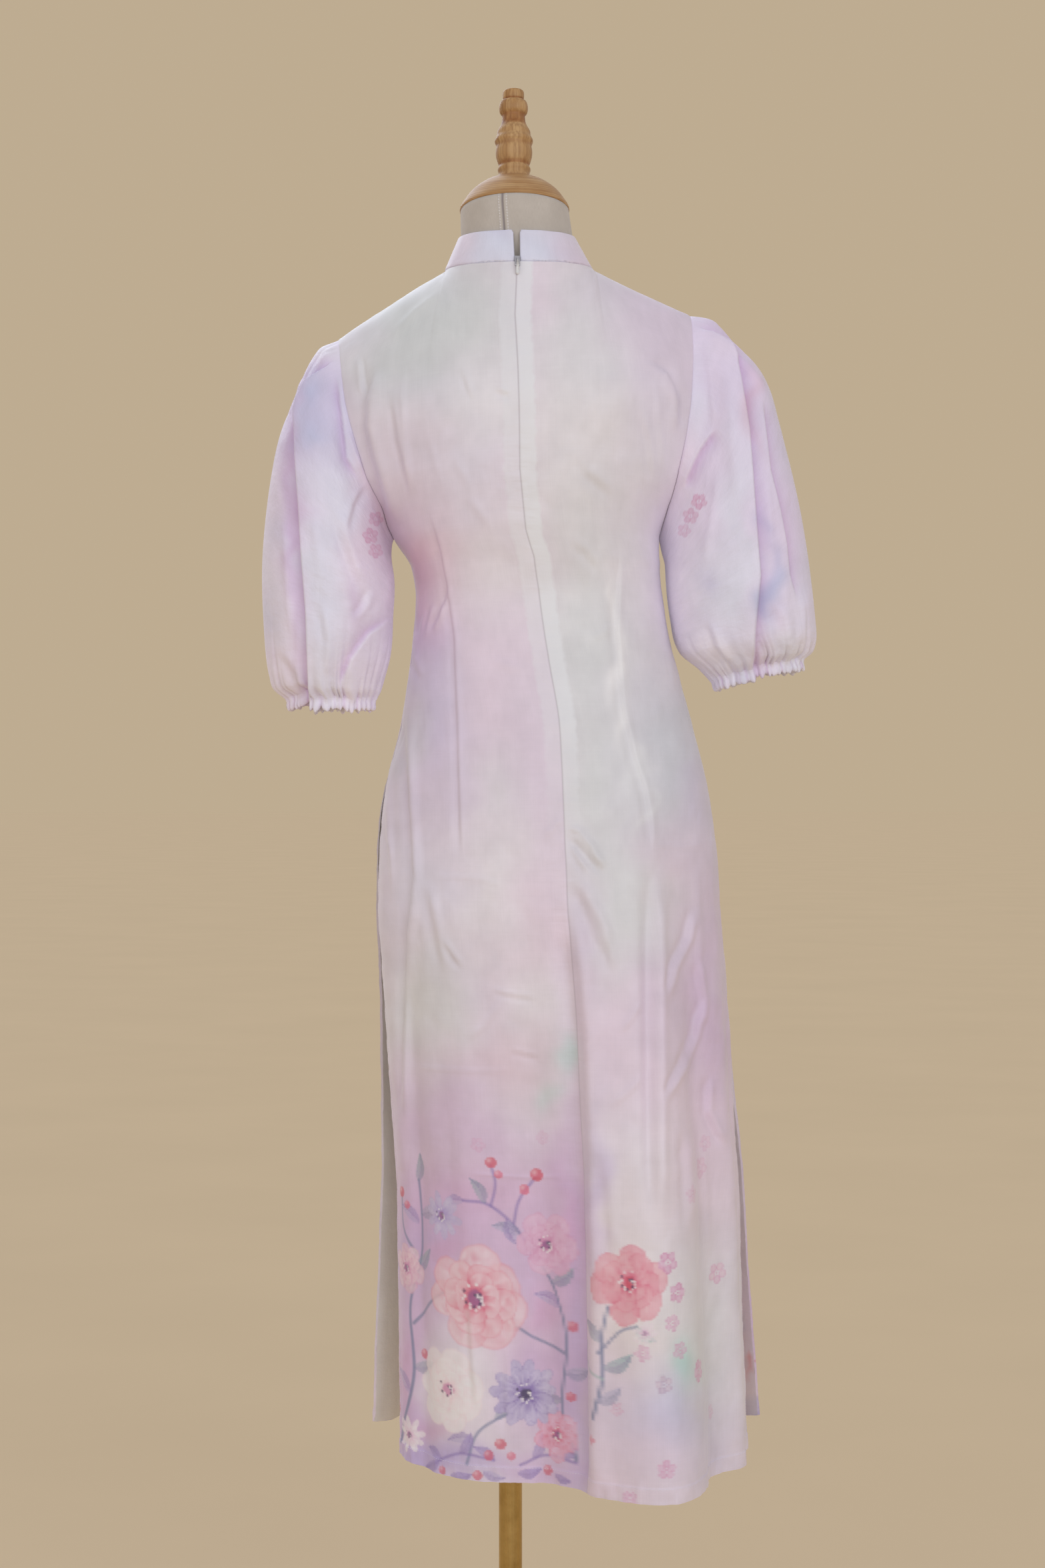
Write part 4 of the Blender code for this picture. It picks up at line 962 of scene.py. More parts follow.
BLOOMS = {
    "left": [
        # x, y, radius_px, petals, turn_deg, light, deep, heart, strength, seed
        (714, 1948, 72, 7, 12, "petal", "coral", "plum", 0.80, 41),
        (820, 1868, 44, 6, 50, "blush", "rose", "plum", 0.80, 42),
        (672, 2084, 58, 7, 80, "cream", "petal", "rose", 0.80, 43),
        (836, 2152, 36, 6, 20, "blush", "coral", "plum", 0.80, 44),
        (610, 1900, 34, 6, 65, "petal", "rose", "plum", 0.75, 45),
    ],
    "right": [
        (944, 1924, 54, 6, 30, "peach", "coral", "red", 0.85, 46),
    ],
    "front": [
        (990, 1880, 66, 7, 12, "petal", "coral", "plum", 0.9, 47),
        (900, 2070, 54, 7, 50, "cream", "blush", "rose", 0.85, 48),
        (640, 2060, 50, 6, 20, "blush", "rose", "plum", 0.8, 49),
        (1110, 2130, 44, 6, 20, "mist", "violet", "ink", 0.8, 50),
    ],
}
BERRY_GLINT = "peach"
BERRIES = {
    "left": [
        # x, y, radius_px, colour, strength
        (804, 1762, 10, "red", 0.9),
        (788, 1784, 8, "coral", 0.85),
        (736, 1744, 9, "red", 0.85),
        (748, 1762, 7, "coral", 0.8),
        (603, 1787, 9, "red", 0.85),
        (611, 1806, 7, "coral", 0.8),
        (638, 2030, 8, "red", 0.75),
        (752, 2166, 9, "red", 0.8),
        (734, 2182, 8, "red", 0.75),
        (768, 2184, 7, "coral", 0.75),
        (862, 1990, 9, "red", 0.75),
        (600, 2110, 8, "red", 0.7),
        (716, 2214, 8, "red", 0.75),
        (664, 2206, 7, "red", 0.70),
        (822, 2206, 8, "red", 0.75),
        (858, 2096, 8, "red", 0.75),
    ],
    "right": [
        (886, 2160, 7, "coral", 0.6),
    ],
    "front": [
        (1012, 1896, 9, "red", 0.85),
        (850, 1930, 9, "red", 0.85),
        (1128, 2040, 9, "red", 0.85),
        (1118, 2064, 7, "coral", 0.8),
    ],
}
BLOSSOMS = {
    "left": [
        # x, y, radius_px, turn_deg, light, deep, strength
        (716, 1716, 12, 10, "blush", "rose", 0.35),
        (815, 1706, 11, 40, "blush", "rose", 0.3),
    ],
    "right": [
        (1002, 1894, 17, 20, "blush", "rose", 0.85),
        (1016, 1940, 15, 70, "blush", "rose", 0.85),
        (1008, 1984, 13, 0, "blush", "rose", 0.65),
        (966, 2030, 13, 30, "blush", "rose", 0.55),
        (1076, 1910, 17, 10, "petal", "rose", 0.6),
        (1098, 1946, 17, 50, "petal", "rose", 0.6),
        (1050, 1752, 17, 10, "petal", "rose", 0.4),
        (1040, 1792, 14, 60, "petal", "rose", 0.36),
        (1058, 1714, 13, 25, "petal", "rose", 0.32),
        (1048, 2056, 18, 30, "blush", "rose", 0.8),
        (1022, 2026, 13, 5, "blush", "rose", 0.6),
        (998, 2078, 14, 40, "petal", "plum", 0.45),
        (1066, 2118, 12, 15, "petal", "rose", 0.35),
        (1002, 2206, 15, 55, "blush", "rose", 0.65),
        (944, 2250, 14, 20, "blush", "rose", 0.55),
        (924, 2114, 11, 10, "petal", "rose", 0.45),
    ],
    "front": [
        (760, 1800, 16, 20, "blush", "rose", 0.6),
        (720, 1840, 15, 60, "blush", "rose", 0.6),
        (940, 1720, 16, 30, "petal", "rose", 0.4),
        (900, 1752, 14, 10, "petal", "rose", 0.4),
        (600, 1900, 14, 40, "blush", "rose", 0.6),
    ],
    "sleeve_left": [
        (564, 778, 12, 10, "blush", "rose", 0.6),
        (556, 804, 13, 45, "blush", "rose", 0.7),
        (564, 826, 12, 20, "blush", "rose", 0.6),
    ],
    "sleeve_right": [
        (1048, 752, 13, 20, "blush", "rose", 0.75),
        (1036, 774, 13, 60, "blush", "rose", 0.6),
        (1026, 796, 11, 5, "blush", "rose", 0.45),
    ],
}


# ---------------------------------------------------------------- curves and surfaces


def smooth_step(x):
    """0 up to zero, 1 from one on, and a smooth rise between."""
    x = np.clip(x, 0.0, 1.0)
    return x * x * (3 - 2 * x)


def bell(x):
    """1 at zero, and next to nothing beyond 2 on either side."""
    return np.exp(-(x**2))


def unit(vectors):
    """The vectors, each brought to a length of 1."""
    return vectors / np.maximum(np.linalg.norm(vectors, axis=-1), SHORTEST)[..., None]


def nearest(values, value):
    """Index of the value nearest to the one that is asked for."""
    return int(np.argmin(np.abs(values - value)))


def run_along(path):
    """Distance along a path to each of its points."""
    return np.concatenate([[0.0], np.cumsum(np.linalg.norm(np.diff(path, axis=0), axis=1))])


def read_along(at, run, path):
    """What a path holds at some distances along it, given the distance to each of its points."""
    return np.stack([np.interp(at, run, column) for column in path.T], axis=-1)


def run_across(grid):
    """Distance along each row of a grid from its first column."""
    steps = np.linalg.norm(np.diff(grid, axis=1), axis=2)
    return np.concatenate([np.zeros((len(grid), 1)), np.cumsum(steps, axis=1)], axis=1)


def paired(across, down):
    """A pair of values for each point of a grid: what it has across, and what it has down."""
    return np.stack(np.broadcast_arrays(across, down), axis=-1)


def angles_round(count):
    """So many angles evenly round a circle."""
    return np.arange(count) * 2 * math.pi / count


def from_top(angle):
    """Angles round a sleeve, measured from its top down either side."""
    return np.minimum(angle, 2 * math.pi - angle)


def circle(angle):
    """Points on a circle whose radius is 1."""
    return np.stack([np.cos(angle), np.sin(angle)], axis=-1)


def hermite(knots, controls, at, first_slope=None):
    """Smooth curves through the controls (one row for each knot), read at the distances in at."""
    knots = np.asarray(knots, float)
    controls = np.asarray(controls, float)
    slopes = np.empty_like(controls)
    span = (knots[2:] - knots[:-2]).reshape((-1,) + (1,) * (controls.ndim - 1))
    slopes[1:-1] = (controls[2:] - controls[:-2]) / span
    slopes[-1] = (controls[-1] - controls[-2]) / (knots[-1] - knots[-2])
    slopes[0] = (controls[1] - controls[0]) / (knots[1] - knots[0])
    if first_slope is not None:
        slopes[0] = first_slope
    rows = []
    for place in at:
        k = int(np.clip(np.searchsorted(knots, place, side="right") - 1, 0, len(knots) - 2))
        gap = knots[k + 1] - knots[k]
        t = (place - knots[k]) / gap
        rows.append(
            (2 * t**3 - 3 * t**2 + 1) * controls[k]
            + (t**3 - 2 * t**2 + t) * gap * slopes[k]
            + (3 * t**2 - 2 * t**3) * controls[k + 1]
            + (t**3 - t**2) * gap * slopes[k + 1]
        )
    return np.array(rows)


def smoothed(points, pieces):
    """A smooth path through the points, with so many steps between neighbours."""
    points = np.asarray(points, float)
    if len(points) < 3:
        return points
    knots = run_along(points)
    spans = [np.linspace(a, b, pieces, endpoint=False) for a, b in zip(knots, knots[1:])]
    return hermite(knots, points, np.concatenate(spans + [knots[-1:]]))


def neckline(across, side):
    """The neck seam and the shoulder seam of the back (side 1) or the front (side -1)."""
    turn = np.clip(across / NECK_SHARE, -1, 1)
    twist = math.radians(NECK_TWIST_DEG) if side > 0 else 0.0
    angle = turn * math.pi / 2 + twist * (1 - turn**2)
    radius, drop = (NECK_BACK, NECK_BACK_DROP) if side > 0 else (NECK_FRONT, NECK_FRONT_DROP)
    x = NECK_HALF_WIDTH * np.sin(angle)
    y = side * radius * np.cos(angle)
    y = np.where(np.abs(turn) == 1, 0.0, y)
    z = NECK_SIDE_Z - drop * np.cos(angle) ** 2
    along = np.clip((np.abs(across) - NECK_SHARE) / (1 - NECK_SHARE), 0, 1)
    x += np.sign(across) * along * (SHOULDER_TIP[0] - NECK_HALF_WIDTH)
    z += along * (SHOULDER_TIP[2] - NECK_SIDE_Z)
    return np.stack([x, y, z], axis=1)


def panel(sections, side, across, places, folds):
    """Upright grid of the back (side 1) or front (side -1): rows for the places, columns for across."""
    controls = [neckline(across, side)]
    knots = [0.0]
    for knot, z_mid, z_edge, half_width, depth, y_axis, wrap, seam_x in sections:
        angle = across * math.radians(wrap)
        x = half_width * np.sign(angle) * np.abs(np.sin(angle)) ** (2 / OVAL)
        x += seam_x * (1 - across**2) ** 2
        y = y_axis + side * depth * np.abs(np.cos(angle)) ** (2 / OVAL)
        z = z_mid + (z_edge - z_mid) * across**2
        controls.append(np.stack([x, y, z], axis=1))
        knots.append(knot)
    controls = np.array(controls)
    # Over the shoulder's top the cloth starts level, towards its own side; at the neck it starts downhill.
    chord = controls[1] - controls[0]
    length = np.linalg.norm(chord, axis=1)[:, None]
    over_shoulder = np.clip(np.abs(across) / NECK_SHARE, 0, 1)[:, None] ** 3
    slope = (1 - over_shoulder) * chord / length + over_shoulder * np.array([0.0, side, 0.0])
    slope *= length / np.linalg.norm(slope, axis=1)[:, None] / knots[1]
    grid = hermite(knots, controls, places, slope)
    grid = add_folds(grid, across, side, folds)
    # Between armpit and slit both panels end at y = 0, on the side seam.
    sewn = (places >= ARMPIT_KNOT - SAME_PLACE) & (places <= SLIT_KNOT + SAME_PLACE)
    for edge, near in ((0, -across), (-1, across)):
        stray = np.where(sewn, grid[:, edge, 1], 0.0)
        grid[:, :, 1] -= stray[:, None] * smooth_step((near - 0.8) / 0.2)[None, :]
    return grid


def add_folds(grid, across, side, folds):
    """Moves the skirt out from the legs along each fold."""
    along = np.gradient(grid, axis=1)
    out = np.stack([-along[:, :, 1], along[:, :, 0], np.zeros(grid.shape[:2])], axis=2) * side
    depth = np.zeros(grid.shape[:2])
    for place, half_width, top_z, full_z, fold_depth in folds:
        down = smooth_step((top_z - grid[:, :, 2]) / (top_z - full_z))
        depth += fold_depth * bell((across - place) / half_width) * down
    return grid + unit(out) * depth[:, :, None]


def lean(points):
    """Shifts and tips upright points to where the leaning form carries them."""
    z_table, shift_table, tip_table = np.array(LEAN).T
    z = points[..., 2]
    moved = points.copy()
    moved[..., 2] += points[..., 0] * np.interp(z, z_table, tip_table)
    moved[..., 0] += np.interp(z, z_table, shift_table)
    return moved


def normals(grid, closed=False):
    """Unit normals of a grid, from its own steps down and across; the sign is set by the caller."""
    if closed:
        wide = np.concatenate([grid[:, -1:], grid, grid[:, :1]], axis=1)
        across = np.gradient(wide, axis=1)[:, 1:-1]
    else:
        across = np.gradient(grid, axis=1)
    return unit(np.cross(np.gradient(grid, axis=0), across))


# ---------------------------------------------------------------- the picture's own coordinates


def camera_axes():
    """Directions from the object to the camera, and to the camera's right."""
    azimuth = math.radians(CAMERA_AZIMUTH_DEG)
    towards_camera = np.array([math.sin(azimuth), -math.cos(azimuth), 0.0])
    right = np.array([math.cos(azimuth), math.sin(azimuth), 0.0])
    return towards_camera, right


def in_picture(points):
    """Where points come in the picture, in its pixels."""
    towards_camera, right = camera_axes()
    from_middle = points - np.array([0, 0, CAMERA_HEIGHT])
    depth = CAMERA_DISTANCE - from_middle @ towards_camera
    x = AXIS_PIXEL + FOCAL_PIXELS * (from_middle @ right) / depth
    y = PICTURE_HEIGHT / 2 - FOCAL_PIXELS * from_middle[..., 2] / depth
    return np.stack([x, y], axis=-1)


def facing_camera(grid, outward, closed=False):
    """How squarely each point of a grid faces the camera, from -1 to 1."""
    towards_camera, _ = camera_axes()
    return normals(grid, closed) @ towards_camera * outward


# ---------------------------------------------------------------- relief and paint


def value_noise(points, scale, seed):
    """Smooth noise from -1 to 1 with a bump or so for each scale of length."""
    spot = points / scale
    cell = np.floor(spot).astype(np.int64)
    t = smooth_step(spot - cell)
    dimensions = points.shape[-1]
    total = np.zeros(points.shape[:-1])
    for corner in itertools.product((0, 1), repeat=dimensions):
        corner = np.array(corner)
        mixed = (cell + corner) @ NOISE_PRIMES[:dimensions] + seed * NOISE_PRIMES[3]
        for shift, factor in NOISE_MIXING:
            mixed = ((mixed ^ (mixed >> shift)) * factor) & NOISE_MASK
        weight = np.prod(np.where(corner == 1, t, 1 - t), axis=-1)
        total += weight * (mixed / NOISE_MASK)
    return total * 2 - 1


def waves(spot, table):
    """The sum of a table's waves at places on the cloth."""
    return sum(
        height * value_noise(spot * (1.0, stretch), scale, seed) for scale, stretch, height, seed in table
    )


def from_line(points, line):
    """Signed distance of points from a line, and how far along it they are, from 0 to 1.

    The distance is positive on the right of a line that runs down the picture.
    """
    line = np.asarray(line, float)
    steps = np.diff(line, axis=0)
    lengths = np.linalg.norm(steps, axis=1)
    runs = run_along(line)
    closest = np.full(points.shape[:-1], np.inf)
    side = np.ones(points.shape[:-1])
    share = np.zeros(points.shape[:-1])
    for start, step, length, run in zip(line[:-1], steps, lengths, runs):
        offset = points - start
        t = np.clip(offset @ step / length**2, 0, 1)
        distance = np.linalg.norm(offset - t[..., None] * step, axis=-1)
        closer = distance < closest
        turn = step[1] * offset[..., 0] - step[0] * offset[..., 1]
        closest = np.where(closer, distance, closest)
        side = np.where(closer, np.where(turn >= 0, 1.0, -1.0), side)
        share = np.where(closer, (run + t * length) / runs[-1], share)
    return closest * side, share


def lapped(across):
    """0 on the low side of a tuck and 1 on the high side."""
    return smooth_step(across / 0.5 + 0.5)


def crease_profile(kind, across):
    """Height across a crease whose half width is 1."""
    if kind == "ridge":
        return bell(across)
    if kind == "tuck":
        # Cloth that laps over a valley on its left: a steep step, and a long easy slope on either side.
        over = lapped(across)
        return over * 0.4 * np.exp(-np.abs(across) / 2.5) - (1 - over) * bell(across / 1.6)
    # A fold is low on its left and high on its right.
    return across * np.exp(0.5 - across**2 / 2)


def tapered(share, ends):
    """1 along a crease's middle, falling to 0 over the given share of it at each end."""
    return smooth_step(share / ends) * smooth_step((1 - share) / ends)


def creases(pixels, table):
    """Height of the creases in a table, in metres, at points given by their pixels."""
    flat = pixels.reshape(-1, 2)
    height = np.zeros(len(flat))
    for kind, half_width, height_mm, ends, line in table:
        reach = CREASE_REACH * half_width
        low = np.min(line, axis=0) - reach
        high = np.max(line, axis=0) + reach
        near = np.flatnonzero(np.all((flat > low) & (flat < high), axis=1))
        distance, share = from_line(flat[near], line)
        height[near] += crease_profile(kind, distance / half_width) * tapered(share, ends) * height_mm / 1000
    return height.reshape(pixels.shape[:-1])


def fold_shadow(pixels, table):
    """How deep points lie in the valleys of a table's tucks, from 0 to 1: how much painted shade they get.
    """
    flat = pixels.reshape(-1, 2)
    shadow = np.zeros(len(flat))
    for kind, half_width, _, ends, line in table:
        if kind != "tuck":
            continue
        distance, share = from_line(flat, line)
        across = distance / half_width
        valley = (1 - lapped(across)) * np.exp(-np.abs(across) / 0.9)
        shadow = np.maximum(shadow, valley * tapered(share, ends))
    return shadow.reshape(pixels.shape[:-1])


def painted(pixels, base, blobs, seed):
    """Wash colours at points given by their pixels: soft blobs whose edges wander like wet paint. Some blobs
    are painted light and some painted shade.
    """
    wander = 0
    for scale, stray, more in WANDER:
        across, down = (value_noise(pixels, scale, seed + more + axis) for axis in (0, 1))
        wander = wander + np.stack([across, down], axis=-1) * stray
    spot = pixels + wander
    colour = np.broadcast_to(np.array(WASH[base]), pixels.shape[:-1] + (3,)).copy()
    for x, y, half_width, half_height, strength, name in blobs:
        reach = ((spot[..., 0] - x) / half_width) ** 2 + ((spot[..., 1] - y) / half_height) ** 2
        share = strength * np.exp(-reach)
        colour += share[..., None] * (np.array(WASH[name]) - colour)
    cloudy = 1
    for scale, stretch, strength, more in CLOUDS:
        cloudy = cloudy + strength * value_noise(pixels * (1.0, stretch), scale, seed + more)
    return np.clip(colour * cloudy[..., None], 0, 1)


class Canvas:
    """Paints motifs on a cloth's own coordinates: metres to the right and metres down."""

    def __init__(self, place, pixels, facing, colour):
        self.place = place.reshape(-1, 2)
        self.pixels = np.where(facing.reshape(-1, 1), pixels.reshape(-1, 2), OUT_OF_SIGHT)
        self.shape = colour.shape
        self.colour = colour.reshape(-1, 3).copy()

    def spot(self, pixel):
        """The cloth's coordinates at a pixel of the picture."""
        return self.place[np.argmin(((self.pixels - pixel) ** 2).sum(axis=1))]

    def around(self, spot, radius):
        """The points within a square round a spot, and how far they are from it."""
        offset = self.place - spot
        index = np.flatnonzero((np.abs(offset) < radius).all(axis=1))
        return index, offset[index]

    def lay(self, index, colour, alpha):
        """Paints over the points of that index; alpha is how well the paint covers."""
        self.colour[index] += np.clip(alpha, 0, 1)[:, None] * (colour - self.colour[index])

    def result(self):
        return np.clip(self.colour, 0, 1).reshape(self.shape)


def shade(light, deep, share):
    """A mix of two paints for each point, light where share is 0."""
    return np.array(light) + np.clip(share, 0, 1)[:, None] * (np.array(deep) - np.array(light))


def turned(offset, turn):
    """Offsets measured along a direction and beside it."""
    along = offset[:, 0] * math.cos(turn) + offset[:, 1] * math.sin(turn)
    beside = -offset[:, 0] * math.sin(turn) + offset[:, 1] * math.cos(turn)
    return along, beside


def paint_petal(canvas, index, offset, turn, size, colours, strength, ragged):
    """One soft petal from the flower's heart outward: deep at its foot, pale above, with a drying edge."""
    length, width = size
    along, beside = turned(offset, turn)
    along = along / length
    beside = beside / width
    shape = 1 - ((along - 0.54) / 0.5) ** 2 - (beside * (1.35 - 0.5 * along)) ** 2 + 0.16 * ragged
    inside = smooth_step(shape / 0.22)
    rim = bell((shape - 0.10) / 0.13)
    streak = np.sin(beside * 7 + ragged * 4) * np.exp(-((along - 0.5) ** 2) / 0.08)
    depth = 0.12 + 0.95 * bell(along / 0.46) + 0.42 * rim + 0.20 * streak + 0.22 * ragged
    canvas.lay(index, shade(*colours, depth), inside * strength)


def paint_flower(canvas, pixel, radius_px, rings, turn_deg, colours, strength, seed):
    """Rings of soft overlapping petals round a dotted heart."""
    size = radius_px / PIXELS_PER_METRE
    light, deep, heart = (np.array(PAINT[name]) for name in colours)
    index, offset = canvas.around(canvas.spot(pixel), size * 1.35)
    ragged = value_noise(offset, size * 0.22, seed) * 0.7 + value_noise(offset, size * 0.09, seed + 1) * 0.3
    chance = np.random.default_rng(seed)
    for reach, width, count in rings:
        for petal in range(count):
            stray = chance.uniform(-0.18, 0.18)
            turn = math.radians(turn_deg) + (petal + stray) * 2 * math.pi / count + reach * 5
            tone = max(chance.uniform(-0.15, 0.22), 0)
            spread = (size * reach * chance.uniform(0.88, 1.06), size * width * chance.uniform(0.88, 1.12))
            shades = (light + (deep - light) * tone, deep)
            paint_petal(canvas, index, offset, turn, spread, shades, strength, ragged)
    out = np.hypot(offset[:, 0], offset[:, 1]) / size
    canvas.lay(index, deep, smooth_step((0.34 + 0.08 * ragged - out) / 0.2) * strength * 0.7)
    canvas.lay(index, heart, smooth_step((0.20 + 0.06 * ragged - out) / 0.08) * strength)
    for dot in range(POLLEN_DOTS):
        # Dots at five distances from the middle, a golden angle apart.
        reach = 0.07 + 0.22 * ((dot * 7) % 5) / 4
        middle = np.array([math.cos(dot * 2.4), math.sin(dot * 2.4)]) * reach * size
        distance = np.linalg.norm(offset - middle, axis=1) / size
        name = "pollen" if dot % 3 else "ink"
        canvas.lay(index, np.array(PAINT[name]), smooth_step((0.05 - distance) / 0.03) * strength)


def paint_blossom(canvas, pixel, radius_px, turn_deg, colours, strength):
    """Five round petals, each outlined by its own drying edge."""
    size = radius_px / PIXELS_PER_METRE
    light, deep = (PAINT[name] for name in colours)
    index, offset = canvas.around(canvas.spot(pixel), size * 1.2)
    for petal in range(5):
        angle = math.radians(turn_deg) + petal * 2 * math.pi / 5
        middle = np.array([math.cos(angle), math.sin(angle)]) * 0.58 * size
        distance = np.linalg.norm(offset - middle, axis=1) / size
        inside = smooth_step((0.42 - distance) / 0.12)
        rim = bell((distance - 0.34) / 0.10)
        tone = 0.35 + 0.25 * (petal % 2) + 0.45 * rim
        canvas.lay(index, shade(light, deep, tone), inside * strength * (0.8 + 0.2 * rim))
    out = np.hypot(offset[:, 0], offset[:, 1]) / size
    canvas.lay(index, np.array(deep), smooth_step((0.16 - out) / 0.1) * strength)


def paint_leaf(canvas, pixel, length_px, turn_deg, colours, strength):
    """A pointed leaf that starts at the pixel, with a midrib and side veins."""
    length = length_px / PIXELS_PER_METRE
    light, deep = (PAINT[name] for name in colours)
    index, offset = canvas.around(canvas.spot(pixel), length * 1.1)
    along, beside = turned(offset, math.radians(turn_deg))
    along = along / length
    beside = beside / length - 0.10 * np.sin(along * math.pi)
    t = np.clip(along, 0, 1)
    half_width = 0.21 * np.sin(t**0.8 * math.pi) ** 0.9
    inside = smooth_step((half_width - np.abs(beside)) / 0.04) * (along > 0) * (along < 1)
    rib = bell(beside / 0.018)
    veins = bell(np.sin((along * 1.6 - np.abs(beside) * 2.2) * 14) / 0.3) * 0.35
    depth = 0.2 + 0.5 * (beside > 0) * 0.6 + 0.6 * rib + veins + 0.35 * (1 - t)
    canvas.lay(index, shade(light, deep, depth), inside * strength * (0.6 + 0.4 * t))


def paint_twig(canvas, pixels, width_px, colour, strength):
    """A stem through the pixels, thinner towards its end."""
    spots = np.array([canvas.spot(pixel) for pixel in pixels])
    width = width_px / PIXELS_PER_METRE
    low, high = spots.min(axis=0), spots.max(axis=0)
    middle = (low + high) / 2
    index, offset = canvas.around(middle, (high - low).max() / 2 + 3 * width)
    distance, share = from_line(offset + middle, smoothed(spots, TWIG_PIECES))
    half_width = np.maximum(width / 2 * (1 - 0.6 * share), FINEST_STROKE)
    inside = smooth_step((half_width - np.abs(distance)) / max(0.6 * width, SOFTEST_EDGE) + 0.5)
    canvas.lay(index, np.array(PAINT[colour]), inside * strength)


def paint_berry(canvas, pixel, radius_px, colours, strength):
    """A round berry with a glint on its upper left."""
    size = radius_px / PIXELS_PER_METRE
    light, deep = (PAINT[name] for name in colours)
    index, offset = canvas.around(canvas.spot(pixel), size * 1.2)
    out = np.hypot(offset[:, 0], offset[:, 1]) / size
    glint = bell(np.linalg.norm(offset / size - (-0.3, -0.35), axis=1) / 0.4)
    colour = shade(deep, light, 0.75 * glint + 0.15 * out)
    canvas.lay(index, colour, smooth_step((1 - out) / 0.15) * strength)


# ---------------------------------------------------------------- materials


class Shading:
    """A material whose nodes are added one call at a time; each call returns the new node's first output."""

    def __init__(self, name, colour, roughness, **sockets):
        self.material = bpy.data.materials.new(name)
        self.material.use_nodes = True
        self.tree = self.material.node_tree
        self.shader = self.tree.nodes["Principled BSDF"]
        self.set("Base Color", colour)
        self.set("Roughness", roughness)
        for socket, value in sockets.items():
            self.set(socket.replace("_", " "), value)

    def set(self, socket, value):
        """Sets one of the shader's sockets to a value, or links a node's output to it."""
        self.fill(self.shader.inputs[socket], value)

    def fill(self, socket, value):
        if isinstance(value, bpy.types.NodeSocket):
            self.tree.links.new(value, socket)
        elif value is not None:
            socket.default_value = (*value, 1.0) if socket.type == "RGBA" else value

    def finished(self, colour, roughness=None, normal=None):
        """The material, with what its nodes make linked to the shader."""
        self.set("Base Color", colour)
        self.set("Roughness", roughness)
        self.set("Normal", normal)
        return self.material

    def node(self, kind, inputs=(), **settings):
        """A new node; its inputs are given in order, or by name."""
        made = self.tree.nodes.new("ShaderNode" + kind)
        for name, value in settings.items():
            setattr(made, name, value)
        named = inputs.items() if isinstance(inputs, dict) else enumerate(inputs)
        for socket, value in named:
            self.fill(made.inputs[socket], value)
        return made

    def math(self, operation, a, b=None):
        return self.node("Math", (a, b), operation=operation).outputs[0]

    def place(self):
        """Where a point lies on its own cloth, in metres across and down."""
        return self.node("Attribute", attribute_name="place").outputs["Vector"]

    def wash(self):
        """The colour that was painted on a point."""
        return self.node("Attribute", attribute_name="wash").outputs["Color"]

    def local(self):
        return self.node("TexCoord").outputs["Object"]

    def noise(self, vector, scale, detail=2.0, roughness=0.5):
        inputs = {"Vector": vector, "Scale": scale, "Detail": detail, "Roughness": roughness}
        return self.node("TexNoise", inputs).outputs["Fac"]

    def streaks(self, vector, scale, detail=2.0, roughness=0.5):
        """Noise with a scale of its own along each axis."""
        stretched = self.node("Mapping", (vector, None, None, scale)).outputs[0]
        return self.noise(stretched, 1.0, detail, roughness)

    def ramp(self, value, low, high, to_low=0.0, to_high=1.0):
        return self.node("MapRange", (value, low, high, to_low, to_high)).outputs[0]

    def spread(self, noise, to_low=0.0, to_high=1.0):
        """Noise, most of which lies within NOISE_RANGE, brought to another range."""
        return self.ramp(noise, *NOISE_RANGE, to_low, to_high)

    def mix(self, share, a, b, blend="MIX"):
        return self.node("Mix", {0: share, 6: a, 7: b}, data_type="RGBA", blend_type=blend).outputs[2]

    def bump(self, height, distance, normal=None):
        return self.node("Bump", {"Distance": distance, "Height": height, "Normal": normal}).outputs[0]

    def bell(self, value, width):
        """A bell round zero of the given half width."""
        scaled = self.math("DIVIDE", value, width)
        squared = self.math("MULTIPLY", scaled, scaled)
        return self.math("EXPONENT", self.math("MULTIPLY", squared, -1.0))


def cloth_material(name, seam=False, glow=0.35):
    """Fine washed silk-like weave: threads, slubs and clouds, and the zip's bands where there is a seam."""
    sheen = {"Sheen_Weight": glow, "Sheen_Roughness": 0.35, "Specular_IOR_Level": 0.5}
    look = Shading(name, TINT["cloth"], 0.47, **sheen)
    place = look.place()
    slub_down = look.streaks(place, (900.0, 22.0, 1.0))
    slub_across = look.streaks(place, (18.0, 700.0, 1.0))
    clouds = look.noise(place, 38.0, 3.0, 0.6)
    down = look.spread(slub_down, -0.013, 0.013)
    threads = look.math("ADD", down, look.spread(slub_across, -0.008, 0.008))
    light = look.math("ADD", threads, look.spread(clouds, 0.970, 1.030))
    grey = look.node("CombineColor", (light, light, light)).outputs[0]
    colour = look.mix(1.0, look.wash(), grey, "MULTIPLY")
    raised_down = look.ramp(slub_down, 0.25, 0.75, -0.5, 0.5)
    raised_across = look.ramp(slub_across, 0.25, 0.75, -0.4, 0.4)
    if seam:
        colour, normal = zip_bands(look, place, colour)
    else:
        ripple = look.noise(place, 60.0, 3.0, 0.6)
        normal = look.bump(look.spread(ripple, -1.0, 1.0), RIPPLE_HEIGHT)
    normal = look.bump(look.math("ADD", raised_down, raised_across), WEAVE_HEIGHT, normal)
    return look.finished(colour, look.spread(slub_down, 0.42, 0.54), normal)


